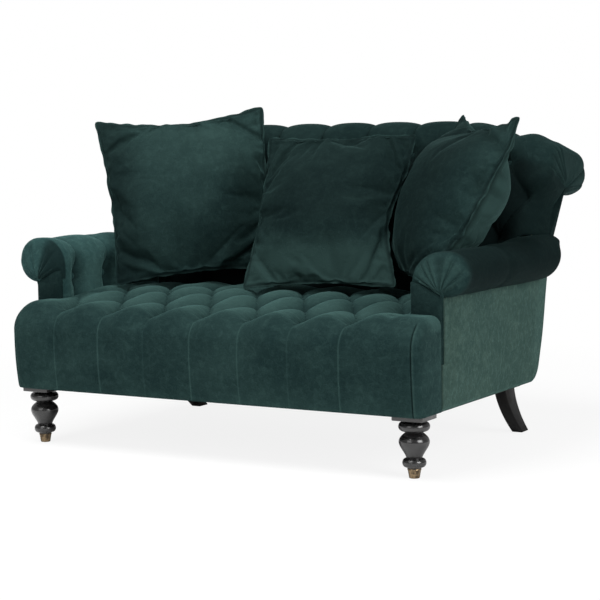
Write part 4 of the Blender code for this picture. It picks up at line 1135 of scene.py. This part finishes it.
# loose cushions: two covers sewn along a pinned edge, with spare cloth, blown up as cloth
cushion = {"cells": 64, "half": 0.25, "draw": 0.070, "start": 0.045, "frames": 26, "flange": 0.009,
           "thick": 0.155}
clothSettings = {"quality": 6, "mass": 0.3, "tension_stiffness": 20.0,
                 "compression_stiffness": 20.0, "bending_stiffness": 0.15,
                 "vertex_group_mass": "seam", "shrink_min": -0.09, "use_pressure": True,
                 "uniform_pressure_force": 6.0}
placed = (
    {"name": "left", "size": 0.525, "turn": 36.0, "lean": 18.0, "tilt": -5.0,
     "quarter": 0, "mirror": 1},
    {"name": "middle", "size": 0.48, "turn": 2.0, "lean": 25.0, "tilt": -2.0,
     "quarter": 3, "mirror": -1},
    {"name": "right", "size": 0.52, "turn": -47.5, "lean": 29.0, "tilt": 2.0,
     "quarter": 2, "mirror": 1})


def coverQuads(index):
    cells, corners = cushion["cells"], ((0, 0), (1, 0), (1, 1), (0, 1))
    return [(face, [index[face, i + a, j + b] for a, b in corners])
            for face in (-1, 1) for i in range(cells) for j in range(cells)]


def stuffCushion():
    cells, half, draw = cushion["cells"], cushion["half"], cushion["draw"]
    points, index = [], {}
    for face in (-1, 1):
        for i in range(cells + 1):
            for j in range(cells + 1):
                u, v = 2 * i / cells - 1, 2 * j / cells - 1
                swell = max((1 - u * u) * (1 - v * v), 0.0) ** 0.5
                rough = 0.003 * noise.noise((u * 6, v * 6, 2.0 * face))
                index[face, i, j] = len(points)
                points.append((half * u * (1 - draw * (1 - v * v) * u * u),
                               face * (0.0012 + cushion["start"] * swell) + rough * swell,
                               half * v * (1 - draw * (1 - u * u) * v * v)))
    faces = [quad if face < 0 else quad[::-1] for face, quad in coverQuads(index)]
    rim = [(i, 0) for i in range(cells)] + [(cells, j) for j in range(cells)]
    rim += [(i, cells) for i in range(cells, 0, -1)] + [(0, j) for j in range(cells, 0, -1)]
    for a, b in zip(rim, rim[1:] + rim[:1]):
        faces.append([index[-1, *a], index[1, *a], index[1, *b], index[-1, *b]])
    mesh = bpy.data.meshes.new("cushionCover")
    mesh.from_pydata(points, [], faces)
    cover = bpy.data.objects.new("cushionCover", mesh)
    bpy.context.collection.objects.link(cover)
    seam = cover.vertex_groups.new(name="seam")
    seam.add([index[face, i, j] for face in (-1, 1) for i, j in rim], 1.0, "REPLACE")
    shown = [Vector(p) for p in points]
    cloth = cover.modifiers.new("stuffing", "CLOTH")
    for key, value in clothSettings.items():
        setattr(cloth.settings, key, value)
    cloth.settings.effector_weights.gravity = 0.0
    cloth.point_cache.frame_start = 1
    cloth.point_cache.frame_end = cushion["frames"]
    scene = bpy.context.scene
    for step in range(1, cushion["frames"] + 1):
        scene.frame_set(step)
    result = cover.evaluated_get(bpy.context.evaluated_depsgraph_get())
    shown = [v.co.copy() for v in result.data.vertices]
    scene.frame_set(1)
    bpy.data.objects.remove(cover, do_unlink=True)
    deep = sum(abs(shown[index[face, cells // 2, cells // 2]].y) for face in (-1, 1)) / 2
    print("cushion cover blown up to", round(2 * deep, 3))
    return shown, index, rim, deep


def paintCushionLight(name, u, v, front):
    # painted light and painted shade across each cushion's face, partly for how its pile was
    # stroked
    if name == "left":
        lit = 0.40 * ease((v + 0.1) / 0.9) + 0.10 * ease((u + 0.2) / 0.8)
        return lit, 0.55 * ease((-u - 0.40) / 0.5)
    if name == "middle":
        lit = 1.1 * ease((-v - 0.30) / 0.5) + 0.10 * ease((-u - 0.4) / 0.5)
        # painted highlight along the wrinkle
        return lit + 0.7 * wrinkle(u, v, 0.06, 0.018), 0.40 * ease((v + 0.55) / 0.5)
    if not front:
        return 1.0, 0.35 * ease((0.75 - u) / 0.5)
    lit = 0.10 * ease((u - 0.55) / 0.4) + 0.15 * ease((v - 0.45) / 0.5)
    return lit, 0.60 * ease((-u + 0.9) / 0.6)


def wrinkle(u, v, height, width):
    # the one crease across the middle cushion
    return bell(v - height - 0.035 * math.sin(11 * u), width) * bell(u - 0.47, 0.13)


def slump(name, p, size):
    # slack edges and lean of each cushion, as it was dropped
    u, v = 2 * p.x / size, 2 * p.z / size
    if name == "left":
        x = p.x + 0.010 * ease((1 - v) / 2) * ease(0.5 - u / 2)
        return Vector((x, p.y, p.z - 0.018 * (1 - u * u) * ease(v)))
    if name == "middle":
        pinch = wrinkle(u, v, 0.04, 0.03) if p.y < 0 else 0.0
        flat = 1 - 0.35 * ease((-v - 0.05) / 0.7)
        tip = 0.013 * ease((u - 0.4) / 0.6) * ease((v - 0.3) / 0.7)
        drawn = 0.044 * ease((u - 0.1) / 0.9) * bell(v + 0.2, 0.6) + tip
        x = p.x + 0.014 * ease(0.5 + u / 2) - drawn
        return Vector((x, p.y * flat + 0.006 * pinch, p.z - tip))
    return Vector((p.x, p.y, p.z - 0.036 * (1 - u * u) ** 1.5 * ease(v)))


def pucker(points, paintedShade, index, size, seed):
    # short gathers along the seam, with painted shade in their hollows
    cells = cushion["cells"]
    for (face, i, j), n in index.items():
        sides = (i, cells - i, j, cells - j)
        near = min(sides)
        edge = sides.index(near)
        run, away = (j if edge < 2 else i) * size / cells, near * size / cells
        wave = noise.noise((run * 34, edge * 7.0 + seed, 3.0 * face))
        wave += 0.7 * noise.noise((run * 66, edge * 5.0, seed))
        reach = 0.030 + 0.020 * noise.noise((run * 12, edge * 3.0, seed))
        deep = wave * math.exp(-away / reach) * ease(away / 0.012)
        points[n].y += face * 0.009 * deep
        paintedShade[n] = min(max(paintedShade[n], -0.9 * deep), 0.9)


# the right cushion swells in small steps, and keeps clear of its neighbours also when it is lifted
swelling = {"neighbours": ("backPad", "rightArmPad", "seatPad", "middleCushion"), "clear": 0.008,
            "steps": 8, "seam": 0.022, "rear": 0.060, "front": 0.040, "lift": (0.2, 0.25, 1),
            "liftStep": 0.0116, "lifts": 19}


def plump(points, stand, size):
    # fuller behind, in front and along the seam, as far as the neighbours leave room
    trees = []
    for name in swelling["neighbours"]:
        mesh = bpy.data.objects[name].data
        faces = [p.vertices for p in mesh.polygons]
        trees.append(BVHTree.FromPolygons([v.co for v in mesh.vertices], faces))
    lift = Vector(swelling["lift"]).normalized() * swelling["liftStep"]
    lifts = [lift * i for i in range(1, swelling["lifts"] + 1)]
    out = (stand.to_3x3() @ Vector((0, 1, 0))).normalized()
    moved = []
    for p in points:
        spot = stand @ p
        u, v = 2 * p.x / size, 2 * p.z / size
        more = swelling["seam"] * ease((u - 0.45) / 0.5)
        more *= ease((1.05 - v) / 0.4) * ease((v + 0.7) / 0.5)
        low = ease((1 + v) / 0.3)
        if p.y > 0.002:
            full = bell(u - 0.5, 0.42) * (1 - ease((v - 0.15) / 0.75)) * ease((1 - abs(u)) / 0.18)
            more += swelling["rear"] * full * low
        elif p.y < -0.002:
            full = bell(u + 0.15, 0.65) * ease((1 - abs(u)) / 0.5) * ease((1 - v) / 0.6)
            more -= swelling["front"] * full * low
        step = more / swelling["steps"]
        for _ in range(swelling["steps"]):
            gap = min(tree.find_nearest(spot)[3] for tree in trees)
            if more < 0:
                # room to be lifted past the middle cushion
                gap = min([gap] + [trees[-1].find_nearest(spot + way)[3] for way in lifts])
            if gap < swelling["clear"] + abs(step):
                break
            spot = spot + out * step
        moved.append(spot)
    return moved


def makeCushion(row, stuffed):
    name, size = row["name"], row["size"]
    shown, index, rim, deep = stuffed
    turn = Matrix.Rotation(math.pi / 2 * row["quarter"], 3, "Y")
    points = [turn @ Vector((p.x * row["mirror"], p.y, p.z)) for p in shown]
    scale = (size / 2 - cushion["flange"] * 0.6) / cushion["half"]
    points = [Vector((p.x * scale, p.y / deep * cushion["thick"] / 2, p.z * scale)) for p in points]
    points = [slump(name, p, size) for p in points]
    faces = [quad for face, quad in coverQuads(index)]
    marks = [paintCushionLight(name, 2 * p.x / size, 2 * p.z / size, p.y < 0) for p in points]
    light, paintedShade = [m[0] for m in marks], [m[1] for m in marks]
    pucker(points, paintedShade, index, size, row["turn"])
    # ruffled flange round the seam, with painted shade along the seam and in its folds and painted
    # highlight on its edge
    outer = {}
    for n, spot in enumerate(rim):
        before, after = rim[n - 1], rim[(n + 1) % len(rim)]
        for face in (-1, 1):
            here = points[index[face, *spot]]
            run = points[index[face, *after]] - points[index[face, *before]]
            out = run.cross(Vector((0, 1, 0))).normalized()
            if out.dot(Vector((here.x, 0, here.z))) < 0:
                out = -out
            here.y = face * 0.0010
            paintedShade[index[face, *spot]] = 0.6
            wave = 0.006 * noise.noise((here.x * 38, here.z * 38, size * 9))
            ruffle = noise.noise((here.x * 47, here.z * 47, size * 5))
            outer[face, *spot] = len(points)
            wide = out * cushion["flange"] * (0.85 + 0.5 * ruffle)
            points.append(here + wide + Vector((0, wave + face * 0.0004, 0)))
            paintedShade.append(max(-1.2 * ruffle, 0.0))
            light.append(light[index[face, *spot]] + 0.25 + 0.5 * ruffle)
    for a, b in zip(rim, rim[1:] + rim[:1]):
        for face in (-1, 1):
            faces.append([index[face, *a], index[face, *b], outer[face, *b], outer[face, *a]])
        faces.append([outer[-1, *a], outer[-1, *b], outer[1, *b], outer[1, *a]])
    low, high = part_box(name + "_cushion")
    stand = Matrix.Translation((Vector(low) + Vector(high)) / 2)
    for angle, axis in ((row["turn"], "Z"), (-row["lean"], "X"), (row["tilt"], "Y")):
        stand = stand @ Matrix.Rotation(math.radians(angle), 4, axis)
    mesh = bpy.data.meshes.new(name + "Cushion")
    spots = plump(points, stand, size) if name == "right" else [stand @ p for p in points]
    mesh.from_pydata(spots, [], faces)
    setMarks(mesh, paintedShade, light)
    pad = closeMesh(name + "Cushion", mesh, 75.0)
    applyStep(pad, "SUBSURF", levels=1, render_levels=1)
    node = name + "_cushion"
    dress(pad, velvet(name + "Cushion"), [node], node)
    print(name, "cushion:", len(pad.data.polygons), "faces")


# turned front legs, foot cups and swept rear legs
leg = {"x": 0.5995, "y": -0.4645, "block": 0.087, "blockLow": 0.151, "top": 0.1657, "sides": 72}
cup = {"height": 0.025, "top": 0.0178, "foot": 0.0135, "wall": 0.0016, "floor": 0.0022}
smoothAngle = math.radians(40)


def halfRound(neck, radius, low, height, steps=12):
    points = []
    for i in range(1, steps):
        a = math.pi * i / steps
        reach = neck + (radius - neck) * math.sin(a) ** 0.7
        points.append((reach, low + height * (1 - math.cos(a)) / 2))
    return points


def legProfile():
    points = [(0.0120, 0.0025), (0.0158, 0.0253), (0.0176, 0.0255), (0.0178, 0.0280)]
    points += halfRound(0.0178, 0.031, 0.028, 0.024)
    points.append((0.0205, 0.053))
    for i in range(1, 24):
        share = i / 24
        swell = math.sin(math.pi * share ** 1.55) ** 0.9
        points.append((0.0205 + 0.0175 * swell + 0.003 * share, 0.052 + 0.065 * share))
    points += [(0.024, 0.1172), (0.0222, 0.1195), (0.022, 0.121)]
    points += halfRound(0.022, 0.041, 0.121, 0.026)
    return points + [(0.022, 0.147), (0.022, 0.1545)]


def pullFace(name, stations, size=(1, 1, 1)):
    # the active object's face, pulled step by step and scaled at each step
    piece = bpy.context.object
    piece.name = name
    bpy.ops.object.mode_set(mode="EDIT")
    bpy.ops.mesh.select_mode(type="FACE")
    bpy.ops.mesh.select_all(action="SELECT")
    bpy.ops.transform.resize(value=size)
    for step, scale, centre in stations:
        bpy.ops.mesh.extrude_region_move(TRANSFORM_OT_translate={"value": step})
        bpy.ops.transform.resize(value=scale, center_override=centre)
    bpy.ops.mesh.select_all(action="SELECT")
    bpy.ops.mesh.normals_make_consistent(inside=False)
    bpy.ops.object.mode_set(mode="OBJECT")
    bpy.ops.object.transform_apply(location=True, rotation=True, scale=True)
    return piece


def turnProfile(name, profile, x, y):
    radius, z = profile[0]
    stations = [((0, 0, z1 - z0), (r1 / r0, r1 / r0, 1), (x, y, z1))
                for (r0, z0), (r1, z1) in zip(profile, profile[1:])]
    clearSelection()
    bpy.ops.mesh.primitive_circle_add(vertices=leg["sides"], radius=radius, fill_type="NGON",
                                      location=(x, y, z))
    piece = pullFace(name, stations)
    bpy.ops.object.shade_smooth_by_angle(angle=smoothAngle)
    return piece


def makeFrontLeg(hand, side):
    x, y = side * leg["x"], leg["y"]
    turned = turnProfile("front%sLeg" % hand.title(), legProfile(), x, y)
    clearSelection()
    bpy.ops.mesh.primitive_cube_add(size=1.0, location=(x, y, (leg["blockLow"] + leg["top"]) / 2))
    head = bpy.context.object
    bpy.ops.object.mode_set(mode="EDIT")
    bpy.ops.mesh.select_all(action="SELECT")
    bpy.ops.transform.resize(value=(leg["block"], leg["block"], leg["top"] - leg["blockLow"]))
    bpy.ops.mesh.bevel(offset=0.0022, segments=3, affect="EDGES")
    bpy.ops.object.mode_set(mode="OBJECT")
    bpy.ops.object.transform_apply(location=True, rotation=True, scale=True)
    applyStep(turned, "BOOLEAN", operation="UNION", solver="EXACT", object=head)
    bpy.data.objects.remove(head, do_unlink=True)
    bpy.ops.object.shade_smooth_by_angle(angle=smoothAngle)
    dress(turned, made["blackWood"], ["front_%s_leg" % hand])
    height, top, foot, wall, floor = (cup[k] for k in ("height", "top", "foot", "wall", "floor"))
    slope = (top - foot) / height
    profile = [(foot + slope * floor - wall, floor), (top - wall, height),
               (top - 0.0009, height + 0.0005), (top, height - 0.0004),
               (top + 0.0006, height - 0.0022), (top - 0.0006, height - 0.0042),
               (foot + slope * 0.004, 0.004), (foot + slope * 0.0012, 0.0012), (foot - 0.0008, 0.0)]
    shell = turnProfile("front%sCup" % hand.title(), profile, x, y)
    dress(shell, made["brass"], ["front_%s_cup" % hand])


rearLeg = {"x": 0.57, "y": 0.182, "kick": 0.125, "top": 0.074, "foot": 0.048, "width": 0.036,
           "height": 0.1657, "steps": 18, "bevel": 0.004}


def makeRearLeg(hand, side):
    x = side * rearLeg["x"]
    curve = []
    for drop in (i / rearLeg["steps"] for i in range(rearLeg["steps"] + 1)):
        curve.append((rearLeg["y"] + rearLeg["kick"] * drop ** 1.7, rearLeg["height"] * (1 - drop),
                      blend(rearLeg["top"], rearLeg["foot"], drop)))
    stations = [((0, y1 - y0, z1 - z0), (1, deep1 / deep0, 1), (x, y1, z1))
                for (y0, z0, deep0), (y1, z1, deep1) in zip(curve, curve[1:])]
    y, z, deep = curve[0]
    clearSelection()
    bpy.ops.mesh.primitive_plane_add(size=1.0, location=(x, y, z))
    piece = pullFace("rear%sLeg" % hand.title(), stations, (rearLeg["width"], deep, 1))
    applyStep(piece, "BEVEL", width=rearLeg["bevel"], segments=3, limit_method="ANGLE",
              angle_limit=smoothAngle)
    bpy.ops.object.shade_smooth_by_angle(angle=smoothAngle)
    dress(piece, made["satinWood"], ["rear_%s_leg" % hand])


# cloth tacked under the frame and over the springs
dustCover = {"x": 0.639, "y": (-0.504, 0.193), "level": 0.1618, "sag": 0.0045, "thick": 0.0012,
             "area": 0.866, "legs": ((0.552, -1.0, -0.417), (0.548, 0.141, 1.0))}
springCanvas = {"x": 0.60, "y": (-0.508, 0.1883), "level": 0.2866, "sag": 0.0, "thick": 0.0015,
                "area": None, "legs": ()}


def stretchCloth(name, cloth, mat, node):
    half, (front, rear) = cloth["x"], cloth["y"]
    xs = spread(-half, half, 0.02) + [s * spot[0] for s in (-1, 1) for spot in cloth["legs"]]
    ys = spread(front, rear, 0.02) + [y for spot in cloth["legs"] for y in spot[1:] if abs(y) < 1]
    xs, ys = sorted(set(xs)), sorted(set(ys))
    points, faces, index = [], [], {}
    for i in range(len(xs) - 1):
        for j in range(len(ys) - 1):
            x, y = (xs[i] + xs[i + 1]) / 2, (ys[j] + ys[j + 1]) / 2
            if any(abs(x) > side and near < y < far for side, near, far in cloth["legs"]):
                continue
            quad = []
            for a, b in ((i, j), (i + 1, j), (i + 1, j + 1), (i, j + 1)):
                if (a, b) not in index:
                    border = min(half - abs(xs[a]), ys[b] - front, rear - ys[b])
                    index[a, b] = len(points)
                    z = cloth["level"] - cloth["sag"] * ease(border / 0.25)
                    points.append((xs[a], ys[b], z))
                quad.append(index[a, b])
            faces.append(quad)
    mesh = bpy.data.meshes.new(name)
    mesh.from_pydata(points, [], faces)
    piece = bpy.data.objects.new(name, mesh)
    bpy.context.collection.objects.link(piece)
    applyStep(piece, "SOLIDIFY", thickness=cloth["thick"], offset=0.0)
    dress(piece, mat, [node])


# frame nodes kept from the CAD model take their finish
keptFinish = (("beech", ("_rail", "_post", "_block")), ("jute", ("_webbing", "spring_canvas")),
              ("steel", ("_bolt", "seat_spring")), ("dustCloth", ("dust_cover",)))


def finishFrame():
    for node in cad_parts:
        piece = bpy.data.objects.get(node)
        if piece is None:
            continue
        for key, words in keptFinish:
            if any(word in node for word in words):
                if not piece.material_slots:
                    piece.data.materials.append(made[key])
                for spot in piece.material_slots:
                    spot.material = made[key]


setCamera()
setStudio()
finishMaterials()
print("studio and materials ready")
makeSeat()
makeBack()
for hand, side in (("left", -1), ("right", 1)):
    makeArm(hand, side)
    makeFacing(hand, side)
    makeOutsideArm(hand, side)
    makeFrontLeg(hand, side)
    makeRearLeg(hand, side)
makeOutsideBack()
stretchCloth("dustCover", dustCover, made["dustCloth"], "dust_cover")
stretchCloth("springCanvas", springCanvas, made["jute"], "spring_canvas")
print("arms, panels, legs and cloths made")
makeButtons()
stuffed = stuffCushion()
for row in placed:
    makeCushion(row, stuffed)
finishFrame()
print("scene ready")
